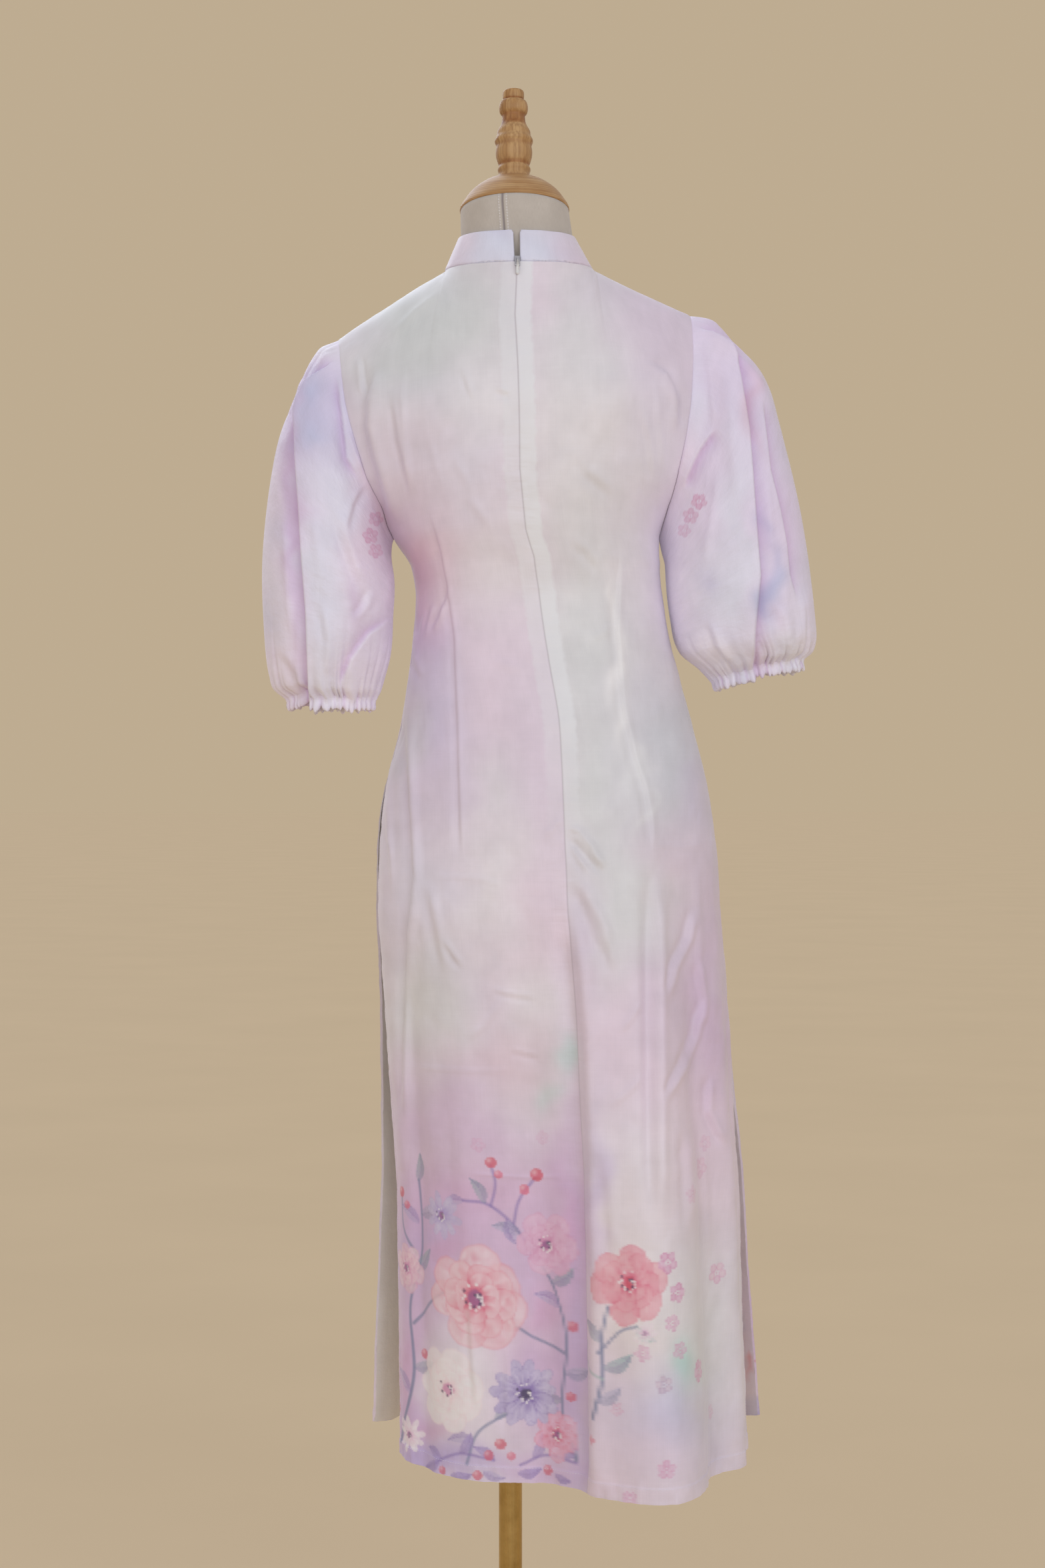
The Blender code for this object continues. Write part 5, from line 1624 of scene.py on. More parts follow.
def zip_bands(look, place, colour):
    """The paler bands where the zip's tapes lie behind the cloth, the seam between them, and its puckers."""
    split = look.node("SeparateXYZ", (place,))
    across, down = split.outputs[0], split.outputs[1]
    side = look.math("ABSOLUTE", across)
    edge = look.math("ADD", side, look.spread(look.noise(place, 120.0, 1.0), -0.0011, 0.0011))
    band = look.ramp(edge, BAND_HALF_WIDTH - 0.001, BAND_HALF_WIDTH + 0.0024, 1.0, 0.0)
    band = look.math("MULTIPLY", band, look.ramp(down, ZIP_FADE_FROM, ZIP_LENGTH, 1.0, 0.0))
    share = look.ramp(across, -0.001, 0.001, 0.78, 0.42)
    share = look.math("MULTIPLY", share, look.spread(look.noise(place, 14.0), 0.75, 1.15))
    colour = look.mix(look.math("MULTIPLY", band, share), colour, TINT["zip_band"])
    line = look.math("MULTIPLY", look.bell(side, 0.0007), look.ramp(down, 0.0, 1.16, 0.55, 0.30))
    colour = look.mix(line, colour, TINT["seam_line"])
    ripple = look.spread(look.streaks(place, (30.0, 95.0, 1.0)), -1.0, 1.0)
    normal = look.bump(look.math("MULTIPLY", ripple, look.bell(side, 0.017)), RIPPLE_HEIGHT)
    return colour, look.bump(band, BAND_HEIGHT, normal)


def jersey_material():
    """The form's knitted cover, with a sewn seam where place's first coordinate is zero."""
    look = Shading("form_jersey", TINT["jersey"], 0.85, Sheen_Weight=0.2, Sheen_Roughness=0.5)
    place = look.place()
    split = look.node("SeparateXYZ", (place,))
    across, down = split.outputs[0], split.outputs[1]
    ribs = look.streaks(place, (1500.0, 240.0, 1.0))
    clouds = look.noise(place, 26.0, 3.0, 0.6)
    side = look.math("ABSOLUTE", across)
    groove = look.bell(side, 0.0011)
    row = look.bell(look.math("SUBTRACT", side, 0.0038), 0.0007)
    dash = look.math("SINE", look.math("MULTIPLY", down, 2 * math.pi / JERSEY_STITCH_PITCH))
    stitches = look.math("MULTIPLY", row, look.ramp(dash, -0.4, 0.3, 0.25, 1.0))
    colour = look.mix(look.spread(clouds), TINT["jersey_dark"], TINT["jersey_pale"])
    colour = look.mix(look.spread(ribs, 0.0, 0.35), colour, TINT["jersey_rib"])
    colour = look.mix(look.math("MULTIPLY", groove, 0.75), colour, TINT["jersey_groove"])
    colour = look.mix(look.math("MULTIPLY", stitches, 0.75), colour, TINT["jersey_stitch"])
    raised = look.math("SUBTRACT", look.math("MULTIPLY", stitches, 0.5), groove)
    raised = look.math("ADD", raised, look.bell(side, 0.0048))
    normal = look.bump(ribs, 0.00012, look.bump(raised, 0.0009))
    return look.finished(colour, look.spread(ribs, 0.78, 0.92), normal)


def wood_material(name, upright):
    """Varnished pale hardwood, darker in its turned grooves: grain along the axis, or rings round it."""
    look = Shading(name, TINT["wood"], 0.5, Specular_IOR_Level=0.3)
    spot = look.local()
    if upright:
        fibres = look.streaks(spot, (520.0, 520.0, 12.0), 4.0, 0.6)
        grain = look.streaks(spot, (210.0, 210.0, 5.0), 3.0, 0.6)
    else:
        split = look.node("SeparateXYZ", (spot,))
        height = look.node("CombineXYZ", (0.0, 0.0, split.outputs[2])).outputs[0]
        fibres = look.streaks(height, (1.0, 1.0, 900.0), 4.0, 0.6)
        grain = look.streaks(spot, (28.0, 28.0, 260.0), 3.0, 0.6)
    warped = look.streaks(spot, (26.0, 26.0, 9.0), 3.0)
    colour = look.mix(look.ramp(grain, 0.32, 0.68), TINT["wood_pale"], TINT["wood_grain"])
    colour = look.mix(look.ramp(fibres, 0.42, 0.66, 0.0, 0.80), colour, TINT["wood_fibre"])
    colour = look.mix(look.ramp(warped, 0.40, 0.70, 0.0, 0.40), colour, TINT["wood_cloud"])
    colour = look.mix(1.0, colour, look.wash(), "MULTIPLY")
    return look.finished(colour, look.spread(fibres, 0.38, 0.56), look.bump(fibres, 0.00005))


def metal_material(name, roughness, scale):
    """Drawn metal: fine streaks and a little cloudy wear in the colour."""
    colour, dark = TINT[name], TINT[name + "_dark"]
    look = Shading(name, colour, roughness, Metallic=1.0)
    spot = look.local()
    streaks = look.streaks(spot, scale, 3.0)
    wear = look.noise(spot, 45.0, 4.0, 0.65)
    tone = look.mix(look.ramp(wear, 0.35, 0.7, 0.0, 0.8), colour, dark)
    tone = look.mix(look.spread(streaks, 0.0, 0.3), tone, dark)
    uneven = look.spread(streaks, roughness - 0.06, roughness + 0.10)
    return look.finished(tone, uneven, look.bump(streaks, 0.00002))


def enamel_material():
    """Off-white enamel with a slight mottle."""
    look = Shading("pull_enamel", TINT["enamel"], 0.4, Coat_Weight=0.3, Coat_Roughness=0.2)
    mottle = look.noise(look.local(), 900.0, 3.0, 0.6)
    colour = look.mix(look.ramp(mottle, 0.35, 0.7), TINT["enamel_pale"], TINT["enamel_grey"])
    return look.finished(colour, look.spread(mottle, 0.34, 0.5), look.bump(mottle, 0.00003))


def thread_material():
    """Soft twisted sewing thread."""
    look = Shading("thread", TINT["thread"], 0.55, Sheen_Weight=0.4)
    twist = look.noise(look.local(), 2600.0)
    colour = look.mix(look.spread(twist), TINT["thread_dark"], TINT["thread_pale"])
    return look.finished(colour, None, look.bump(twist, 0.0001))


def floor_material():
    """Matt paint whose tone wanders by a hair."""
    look = Shading("floor_paint", FLOOR_COLOUR, 0.9, Specular_IOR_Level=0.0)
    clouds = look.noise(look.local(), 1.7, 3.0, 0.6)
    low, high = (tuple(tone * value for value in FLOOR_COLOUR) for tone in (0.985, 1.015))
    return look.finished(look.mix(look.spread(clouds), low, high))


# ---------------------------------------------------------------- meshes


def quads(rows, columns, closed, flip):
    """The faces of a grid, four corners each."""
    index = np.arange(rows * columns).reshape(rows, columns)
    if closed:
        index = np.concatenate([index, index[:, :1]], axis=1)
    faces = np.stack([index[:-1, :-1], index[1:, :-1], index[1:, 1:], index[:-1, 1:]], axis=-1)
    # Every second quad starts at its next corner, so the diagonals alternate.
    faces[::2, 1::2] = np.roll(faces[::2, 1::2], 1, axis=-1)
    faces[1::2, ::2] = np.roll(faces[1::2, ::2], 1, axis=-1)
    faces = faces.reshape(-1, 4)
    return faces[:, ::-1] if flip else faces


class Patches:
    """Several grids of points, with their colours and places, gathered into one mesh."""

    def __init__(self):
        self.points = []
        self.faces = []
        self.colours = []
        self.places = []
        self.count = 0

    def add(self, points, closed=False, flip=False, colour=None, place=None):
        rows, columns = points.shape[:2]
        self.faces.append(quads(rows, columns, closed, flip) + self.count)
        self.points.append(points.reshape(-1, 3))
        self.count += rows * columns
        if colour is None:
            colour = np.full(points.shape, PLAIN_TONE)
        if place is None:
            place = np.zeros((rows, columns, 2))
        self.colours.append(colour.reshape(-1, 3))
        self.places.append(place.reshape(-1, 2))

    def mesh(self, name, weld=False):
        points = np.concatenate(self.points)
        faces = np.concatenate(self.faces)
        mesh = bpy.data.meshes.new(name)
        mesh.vertices.add(len(points))
        mesh.vertices.foreach_set("co", points.ravel())
        mesh.loops.add(faces.size)
        mesh.loops.foreach_set("vertex_index", faces.ravel())
        mesh.polygons.add(len(faces))
        mesh.polygons.foreach_set("loop_start", np.arange(0, faces.size, 4))
        mesh.update(calc_edges=True)
        mesh.shade_smooth()
        wash = mesh.color_attributes.new("wash", "FLOAT_COLOR", "POINT")
        wash.data.foreach_set("color", np.c_[np.concatenate(self.colours), np.ones(len(points))].ravel())
        place = mesh.attributes.new("place", "FLOAT_VECTOR", "POINT")
        place.data.foreach_set("vector", np.c_[np.concatenate(self.places), np.zeros(len(points))].ravel())
        if weld:
            shape = bmesh.new()
            shape.from_mesh(mesh)
            bmesh.ops.remove_doubles(shape, verts=shape.verts, dist=WELD_DISTANCE)
            shape.to_mesh(mesh)
            shape.free()
        return mesh


def linked(name, data):
    """A new object in the scene."""
    obj = bpy.data.objects.new(name, data)
    bpy.context.scene.collection.objects.link(obj)
    return obj


def add_piece(name, mesh, material, node=None, body=BODY):
    """A piece that rides on a body, in place of a CAD node where one is named."""
    obj = linked(name, mesh)
    mesh.materials.append(material)
    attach(obj, body)
    if node:
        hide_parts(node)
    return obj


def add_cloth(node, patches, material, weld=False):
    """The cloth that shows in place of a CAD node."""
    name = node + "_cloth"
    return add_piece(name, patches.mesh(name, weld), material, node)


def lowest_around(height, reach, closed):
    """The lowest of the heights within so many rows and columns of each point."""
    low = height
    for _ in range(reach):
        down = np.concatenate([low[1:], low[-1:]])
        up = np.concatenate([low[:1], low[:-1]])
        low = np.minimum(low, np.minimum(down, up))
        before, after = np.roll(low, 1, axis=1), np.roll(low, -1, axis=1)
        if not closed:
            before[:, 0] = low[:, 0]
            after[:, -1] = low[:, -1]
        low = np.minimum(low, np.minimum(before, after))
    return low


def cloth_patches(base, outward, height, colour, place, closed, flip, paleness=REVERSE_PALENESS):
    """A cloth's fine outer side, a coarser and paler inner side, and the edges between them."""
    step = SLEEVE_INNER_STEP if closed else PANEL_INNER_STEP
    out = normals(base, closed) * outward
    grid = base + out * height[..., None]
    inside = base + out * (lowest_around(height, step, closed) - CLOTH_WALL)[..., None]
    patches = Patches()
    patches.add(grid, closed, flip, colour, place)
    rows, columns = grid.shape[:2]
    some_rows = np.unique(np.r_[0:rows:step, rows - 1])
    some_columns = np.r_[0:columns:step]
    if not closed:
        some_columns = np.unique(np.r_[some_columns, columns - 1])
    pick = np.ix_(some_rows, some_columns)
    keep = np.broadcast_to(paleness, colour.shape[:2])[pick][..., None]
    pale = colour[pick] + keep * (np.array(WASH["lining"]) - colour[pick])
    patches.add(inside[pick], closed, not flip, pale, place[pick])
    if closed:
        for row, row_flip in ((0, flip), (-1, not flip)):
            strip = np.stack([grid[row], inside[row]])
            patches.add(strip, True, not row_flip, colour[[row, row]], place[[row, row]])
    else:
        index = np.arange(rows * columns).reshape(rows, columns)
        loop = np.concatenate([index[0], index[1:, -1], index[-1, -2::-1], index[-2:0:-1, 0]])
        strip, tint, where = (
            np.stack([one.reshape(rows * columns, -1)[loop], two.reshape(rows * columns, -1)[loop]])
            for one, two in ((grid, inside), (colour, colour), (place, place))
        )
        patches.add(strip, True, not flip, tint, where)
    return patches


# ---------------------------------------------------------------- cloth pieces


def half_columns(step):
    """Shares of a panel's half, from its middle to its edge, finest beside the seams."""
    neck = np.linspace(0, NECK_SHARE, round(NECK_RUN / step) + 1)
    side = np.linspace(NECK_SHARE, 1, round(SIDE_RUN / step) + 1)
    beside_middle = list(FINE_SHARES)
    beside_edge = [1 - share for share in FINE_SHARES[::-1]]
    return np.concatenate([neck[:1], beside_middle, neck[1:], side[1:-1], beside_edge, side[-1:]])


def panel_rows(upper_step, hem_step):
    """Distances down a panel, finer in the printed zone and with one more row just above the hem's end."""
    upper = np.linspace(0, HEM_ZONE, round(HEM_ZONE / upper_step) + 1)
    lower = np.linspace(HEM_ZONE, HEM_KNOT, round((HEM_KNOT - HEM_ZONE) / hem_step) + 1)
    return np.concatenate([upper, lower[1:-1], [HEM_KNOT - LAST_ROW, HEM_KNOT]])


def eased(grid, places):
    """The back panel with its hollow bridged: the depth there is averaged over the rows around."""
    nearness = bell((places[:, None] - places[None, :]) / EASE_REACH)
    depth = nearness @ grid[..., 1] / nearness.sum(axis=1)[:, None]
    keep = smooth_step((places - EASE_FROM) / 0.04) * smooth_step((EASE_TO - places) / 0.06)
    grid = grid.copy()
    grid[..., 1] += keep[:, None] * (depth - grid[..., 1])
    return grid


def sewn_height(spot, to_edge, seam):
    """Relief that sewing gives a panel: its turned edges, its hems and the puckers beside them."""
    across, down = spot[..., 0], spot[..., 1]
    height = np.zeros(across.shape)
    if seam:
        height -= SEAM_SINK * bell(across / SINK_WIDTH)
    height -= SIDE_SEAM_SINK * bell(to_edge / SINK_WIDTH) * (down < SLIT_KNOT)
    below_slit = down - SLIT_KNOT
    turned_edge = smooth_step((SLIT_HEM - to_edge) / TURNED_EDGE + 0.5)
    height += SLIT_RISE * (turned_edge * smooth_step(below_slit / 0.02))
    slit_pucker = value_noise(spot * (0.4, 1.0), 0.006, 61) * bell(to_edge / 0.012)
    height += SLIT_PUCKER * slit_pucker * smooth_step(below_slit / 0.03)
    from_hem = HEM_KNOT - down
    height += HEM_RISE * smooth_step((HEM_HEIGHT - from_hem) / TURNED_EDGE + 0.5)
    height += HEM_PUCKER * waves(spot, HEM_WAVES) * bell(from_hem / 0.022)
    return height


def soft_height(spot):
    """Slight waviness of the cloth, stronger and longer down the skirt."""
    rumple = sum(
        height * np.abs(value_noise(spot @ slant, scale, seed)) for slant, scale, height, seed in RUMPLES
    )
    in_skirt = smooth_step((spot[..., 1] - SLIT_KNOT) / 0.25)
    return waves(spot, BODY_WAVES) + rumple + waves(spot, SKIRT_WAVES) * in_skirt


def panel_height(base, spot, to_edge, seam, table):
    """All of a panel's relief: what sewing gives it, its soft waviness and its creases."""
    folds = CREASE_GAIN * creases(in_picture(base), table)
    return sewn_height(spot, to_edge, seam) + soft_height(spot) + folds


def paint_print(colour, grid, place, outward, name):
    """Lays the named piece's motifs over its wash."""
    facing = facing_camera(grid, outward)
    seen = facing > 0.05 if name != "front" else facing < -0.05
    right_down = place * ((1, 1) if name == "front" else (-1, 1))
    canvas = Canvas(right_down, in_picture(grid), seen, colour)
    for width, colour_name, strength, line in TWIGS[name]:
        paint_twig(canvas, line, width, colour_name, strength)
    for x, y, length, turn, light, deep, strength in LEAVES[name]:
        paint_leaf(canvas, (x, y), length, turn, (light, deep), strength)
    for x, y, radius, deep, strength in BERRIES[name]:
        paint_berry(canvas, (x, y), radius, (BERRY_GLINT, deep), strength)
    for table, rings in ((BLOOMS, BLOOM_RINGS), (DAISIES, DAISY_RINGS)):
        for x, y, radius, petals, turn, light, deep, heart, strength, seed in table[name]:
            counted = [(reach, width, petals + more) for reach, width, more in rings]
            paint_flower(canvas, (x, y), radius, counted, turn, (light, deep, heart), strength, seed)
    paint_blossoms(canvas, name)
    return canvas.result()


def paint_blossoms(canvas, name):
    """Lays the named piece's small blossoms."""
    for x, y, radius, turn, light, deep, strength in BLOSSOMS[name]:
        paint_blossom(canvas, (x, y), radius, turn, (light, deep), strength)


def build_back(material):
    """Both back panels, cut apart at the seam down the middle."""
    half = half_columns(PANEL_STEP)
    across = np.concatenate([-half[:0:-1], half])
    places = panel_rows(PANEL_ROW_STEP, PANEL_STEP)
    whole = lean(eased(panel(BACK_SECTIONS, 1, across, places, BACK_FOLDS), places))
    middle = len(half) - 1
    panels = {}
    for name, base in (("left", whole[:, middle:]), ("right", whole[:, : middle + 1])):
        run = run_across(base)
        # The run counts from the seam, and is below zero on the wearer's right.
        u, to_edge = (run, run[:, -1:] - run) if name == "left" else (run - run[:, -1:], run)
        place = paired(u, places[:, None])
        height = panel_height(base, place, to_edge, True, BACK_CREASES + DARTS)
        grid = base - normals(base) * height[..., None]
        colour = painted(in_picture(grid), "haze", BACK_WASH[name], WASH_SEEDS["back_" + name])
        colour = paint_print(colour, grid, place, -1, name)
        patches = cloth_patches(base, -1, height, colour, place, False, True)
        piece = add_cloth(f"back_{name}", patches, material)
        panels[name] = {"piece": piece, "grid": grid, "places": places}
    return panels


def build_front(material):
    """The front panel, in one piece from side to side."""
    half = half_columns(FRONT_STEP)
    across = np.concatenate([-half[:0:-1], half])
    places = panel_rows(FRONT_ROW_STEP, FRONT_STEP)
    base = lean(panel(FRONT_SECTIONS, -1, across, places, FRONT_FOLDS))
    run = run_across(base)
    middle = len(half) - 1
    u = run - run[:, middle : middle + 1]
    to_edge = np.minimum(run, run[:, -1:] - run)
    place = paired(u, places[:, None])
    height = panel_height(base, place, to_edge, False, FRONT_CREASES)
    # Below the slits the edges curl out, so the cloth beside them falls in.
    beside = np.sin(np.clip(to_edge / EDGE_CURL_WIDTH, 0, 1) * math.pi)
    height -= EDGE_CURL * beside * smooth_step((place[..., 1] - SLIT_KNOT) / 0.35)
    grid = base + normals(base) * height[..., None]
    colour = painted(in_picture(grid), "haze", FRONT_WASH, WASH_SEEDS["front"])
    colour = paint_print(colour, grid, place * (-1, 1), 1, "front")
    # The print shows through on the wearer's right side only.
    paleness = 0.25 + 0.65 * smooth_step(u / 0.04 + 0.5)
    patches = cloth_patches(base, 1, height, colour, place, False, False, paleness)
    return {"piece": add_cloth("front", patches, material), "grid": grid, "places": places}


def ring_points(outer, inner, y_mid, half_depth, angle):
    """Points round a ring, from its outer point through the back, the inner point and the front."""
    middle = (outer + inner) / 2 + np.array([0, y_mid, 0])
    back = np.array([0, half_depth, 0])
    return middle + np.cos(angle)[:, None] * (outer - inner) / 2 + np.sin(angle)[:, None] * back


def sleeve_grid(loop, rings, angle, places):
    """A sleeve from its armhole's loop through its rings, which keep some of the loop's shape near it."""
    plain = ring_points(loop[0], loop[len(loop) // 2], 0.0, ARMHOLE_HALF_DEPTH, angle)
    knots = [0.0]
    controls = [loop]
    for knot, outer_x, outer_z, inner_x, inner_z, y_mid, half_depth in rings:
        outer = np.array([outer_x, 0, outer_z])
        inner = np.array([inner_x, 0, inner_z])
        keep = 1 - smooth_step(knot / ARMHOLE_FADE)
        controls.append(ring_points(outer, inner, y_mid, half_depth, angle) + keep * (loop - plain))
        knots.append(knot)
    return hermite(knots, np.array(controls), places)


def gather_wave(angle, count, seed):
    """Gathers round a ring, of uneven width and depth: from -1 in the valleys to 1 on the crests."""
    spot = circle(angle)
    slip = value_noise(spot, 0.35, seed) * 3.2 + value_noise(spot, 0.14, seed + 2) * 1.2
    depth = 0.75 + 0.7 * value_noise(spot, 0.12, seed + 1)
    crest = np.abs(np.cos(count * angle / 2 + slip)) ** 0.8 * 2 - 1
    return crest * depth


def cap_height(angle, down):
    """Pleats and small gathers at the sleeve's head, strongest at its top."""
    top_deg = np.degrees(from_top(angle))
    cap = np.cos(np.clip(top_deg / CAP_SPREAD_DEG, 0, 1) * math.pi / 2)
    pleats = np.cos(np.radians(top_deg) * CAP_PLEATS * 180 / CAP_SPREAD_DEG)
    fade = smooth_step(down / 0.03) * (1 - smooth_step(down / CAP_PLEAT_LENGTH))
    height = CAP_PLEAT_DEPTH * 0.5 * fade * (cap * pleats)[None, :]
    small = gather_wave(angle, CAP_GATHERS, CAP_SEED) * np.exp(-down / 0.012)
    return height + CAP_GATHER_DEPTH * small * np.clip(cap * 1.5, 0, 1)[None, :]


def sleeve_height(name, grid, angle, places):
    """Relief of a sleeve: the pleated cap, the elastic's gathers, its long folds and soft waviness."""
    down = places[:, None]
    to_cuff = places[-1] - down
    seed = CUFF_SEEDS[name]
    spot = circle(angle)
    height = cap_height(angle, down)
    reach = 0.028 + 0.018 * value_noise(spot, 0.18, 83)
    fade = np.exp(-((to_cuff / reach[None, :]) ** 1.2))
    height = height + GATHER_DEPTH * gather_wave(angle, CUFF_GATHERS, seed)[None, :] * fade
    long_reach = 0.055 + 0.04 * value_noise(spot, 0.3, 85)
    slow = gather_wave(angle, SLOW_GATHERS, seed + 3)[None, :]
    height = height + SLOW_GATHER_DEPTH * slow * bell(to_cuff / long_reach[None, :])
    height = height + waves(paired(SLEEVE_RADIUS * from_top(angle), down), SLEEVE_WAVES)
    height = height - CUFF_PINCH * bell(to_cuff / 0.011)
    folds = SLEEVE_CREASE_GAIN * creases(in_picture(grid), SLEEVE_CREASES[name])
    height = (height + folds) * smooth_step(down / 0.006)
    return height - ARMHOLE_SINK * bell(down / 0.0012)


def build_sleeve(name, loop, material):
    """A set-in sleeve, from its armhole's loop to the elastic's casing."""
    rings = SLEEVE_RINGS[name]
    angle = angles_round(SLEEVE_COLUMNS)
    length = rings[-1][0]
    places = np.linspace(0, length, round(length / SLEEVE_STEP) + 1)
    places = np.concatenate([places[:1], [FIRST_SLEEVE_ROW], places[1:]])
    flip = name == "right"
    outward = -1 if flip else 1
    base = sleeve_grid(loop, rings, angle, places)
    height = sleeve_height(name, base, angle, places)
    grid = base + normals(base, True) * outward * height[..., None]
    full_name = f"sleeve_{name}"
    colour = painted(in_picture(grid), "veil", SLEEVE_WASH[name], WASH_SEEDS[full_name])
    # Painted shade: tucks and gathers are darkened towards violet in their valleys.
    gathers = gather_wave(angle, CUFF_GATHERS, CUFF_SEEDS[name])[None, :]
    gather_painted_shade = np.clip(-gathers, 0, 1) * np.exp(-((length - places)[:, None] / 0.010))
    for valley in (fold_shadow(in_picture(base), SLEEVE_CREASES[name]), gather_painted_shade):
        colour *= 1 - valley[..., None] * (1 - np.array(FOLD_SHADOW))
    colour = paint_sleeve(colour, grid, outward, full_name)
    place = paired(SLEEVE_RADIUS * from_top(angle), places[:, None])
    patches = cloth_patches(base, outward, height, colour, place, True, flip)
    return {"piece": add_cloth(full_name, patches, material), "grid": grid, "angle": angle, "colour": colour}


def paint_sleeve(colour, grid, outward, name):
    """Lays the blossoms over a sleeve's wash; the sleeve is too curved for a measure of its own."""
    pixels = in_picture(grid)
    seen = facing_camera(grid, outward, True) > 0.1
    place = np.where(seen[..., None], pixels / PIXELS_PER_METRE, OUT_OF_SIGHT)
    canvas = Canvas(place, pixels, seen, colour)
    paint_blossoms(canvas, name)
    return canvas.result()


def build_cuff(name, sleeve, material):
    """The elastic casing: the sleeve's own gathers run over it, and it is turned in at its foot."""
    angle = angles_round(CUFF_COLUMNS)
    wrapped = np.append(sleeve["angle"], 2 * math.pi)
    top, tint = (
        read_along(angle, wrapped, np.concatenate([sleeve[what][-1], sleeve[what][-1, :1]]))
        for what in ("grid", "colour")
    )
    middle = top.mean(axis=0)
    axis = np.cross(top[len(top) // 4] - middle, top[0] - middle)
    axis *= -np.sign(axis[2]) / np.linalg.norm(axis)
    radial = unit(top - middle)
    gathers = gather_wave(angle, CUFF_GATHERS, CUFF_SEEDS[name])
    ruffle = gather_wave(angle, CUFF_GATHERS * 1.3, CUFF_SEEDS[name] + 7)
    rows = []
    for down, out, deep, uneven in CUFF_PROFILE:
        wave = (1 - uneven) * gathers + uneven * ruffle
        bulge = out + deep * wave - GATHER_DEPTH * gathers
        drop = down + CUFF_RUFFLE * ruffle * (down / CUFF_HEIGHT)
        rows.append(top + radial * bulge[:, None] + axis * drop[:, None])
    grid = np.array(rows)
    down = np.array(CUFF_PROFILE)[:, :1] + CUFF_PLACE
    place = paired(angle * CUFF_RADIUS, down)
    patches = Patches()
    patches.add(grid, True, name == "right", np.broadcast_to(tint[None], grid.shape), place)
    return add_cloth(f"cuff_{name}", patches, material)


def collar_ring(seam, up):
    """A ring of the collar's outer side, from its seam (up = 0) to its top edge (up = 1)."""
    depth = np.where(seam[:, 1] > 0, NECK_BACK, NECK_FRONT)
    flat = seam[:, :2] / np.stack([np.full(len(seam), NECK_HALF_WIDTH), depth], axis=1)
    ring = seam + np.array([0, 0, SEAM + COLLAR_HEIGHT * up])
    ring[:, :2] += (COLLAR_TOP_RADIUS * unit(flat) - seam[:, :2]) * up
    return ring


def collar_outside():
    """The collar's outer side before its relief, open at the back, and the run along its seam."""
    across = np.linspace(0, NECK_SHARE, COLLAR_COLUMNS)
    front = neckline(np.linspace(NECK_SHARE, -NECK_SHARE, 2 * COLLAR_COLUMNS), -1)
    seam = np.concatenate([neckline(across, 1), front[1:-1], neckline(-across[::-1], 1)])
    run = run_along(seam)
    rows = []
    for up in np.linspace(0, 1, COLLAR_ROWS):
        slot = (COLLAR_SLOT_FOOT + (COLLAR_SLOT_TOP - COLLAR_SLOT_FOOT) * up) / 2
        corner = COLLAR_CORNER * np.clip((up - 0.9) / 0.1, 0, 1) ** 2
        at = np.linspace(slot + corner, run[-1] - slot - corner, len(seam))
        rows.append(read_along(at, run, collar_ring(seam, up)))
    return np.array(rows), run


def build_collar(material):
    """The interfaced standing band, open at the back, with rounded edges."""
    outer, run = collar_outside()
    up = np.linspace(0, COLLAR_HEIGHT, COLLAR_ROWS)[:, None]
    spot = paired(run, up)
    height = waves(spot, COLLAR_WAVES)
    height -= COLLAR_SINK * bell(up / 0.0012)
    height += waves(spot, COLLAR_PUCKERS) * bell(up / 0.006)
    away = normals(outer)
    outward = np.sign((away[COLLAR_ROWS // 2, 0] * outer[COLLAR_ROWS // 2, 0])[:2].sum())
    outer = outer + away * outward * height[..., None]
    inner = outer - away * outward * COLLAR_WALL
    wall = inner[-1] - outer[-1]
    rim = [outer[-1] + wall * share + np.array([0, 0, lift]) for share, lift in COLLAR_RIM]
    grid = np.concatenate([outer, np.array(rim), inner[::-1]])
    caps = []
    for end, next_to_end in ((0, 1), (-1, -2)):
        middle = (grid[:, end] + grid[::-1, end]) / 2
        caps.append((middle + unit(grid[:, end] - grid[:, next_to_end]) * COLLAR_WALL * 0.4)[:, None])
    grid = np.concatenate([caps[0], grid, caps[1]], axis=1)
    grid = lean(np.concatenate([grid, grid[:1]]))
    colour = painted(in_picture(grid), "haze", COLLAR_WASH, WASH_SEEDS["collar"])
    u = np.concatenate([[-COLLAR_PLACE_STEP], run, run[-1:] + COLLAR_PLACE_STEP])
    v = np.arange(len(grid)) * COLLAR_PLACE_STEP
    place = paired(u, v[:, None]) + COLLAR_PLACE
    patches = Patches()
    patches.add(grid, False, outward < 0, colour, place)
    return add_cloth("collar", patches, material, weld=True)


# ---------------------------------------------------------------- stitches


def stitch_row(patches, path, out):
    """A row of sewn stitches along a path: small rounded threads lying on the cloth."""
    run = run_along(path)
    turn = angles_round(THREAD_SIDES)
    lift = np.array(STITCH_LIFT) * THREAD_RADIUS
    width = np.array(STITCH_WIDTH) * THREAD_RADIUS
    for start in np.arange(STITCH_PITCH, run[-1] - STITCH_PITCH, STITCH_PITCH):
        middle = read_along(start + np.linspace(0, STITCH_LENGTH, len(lift)), run, path)
        away = unit(read_along(start, run, out))
        beside = np.cross(unit(middle[-1] - middle[0]), away)
        ring = np.cos(turn)[None, :, None] * beside + np.sin(turn)[None, :, None] * away
        points = (middle + lift[:, None] * away)[:, None, :] + ring * width[:, None, None]
        patches.add(points, True)


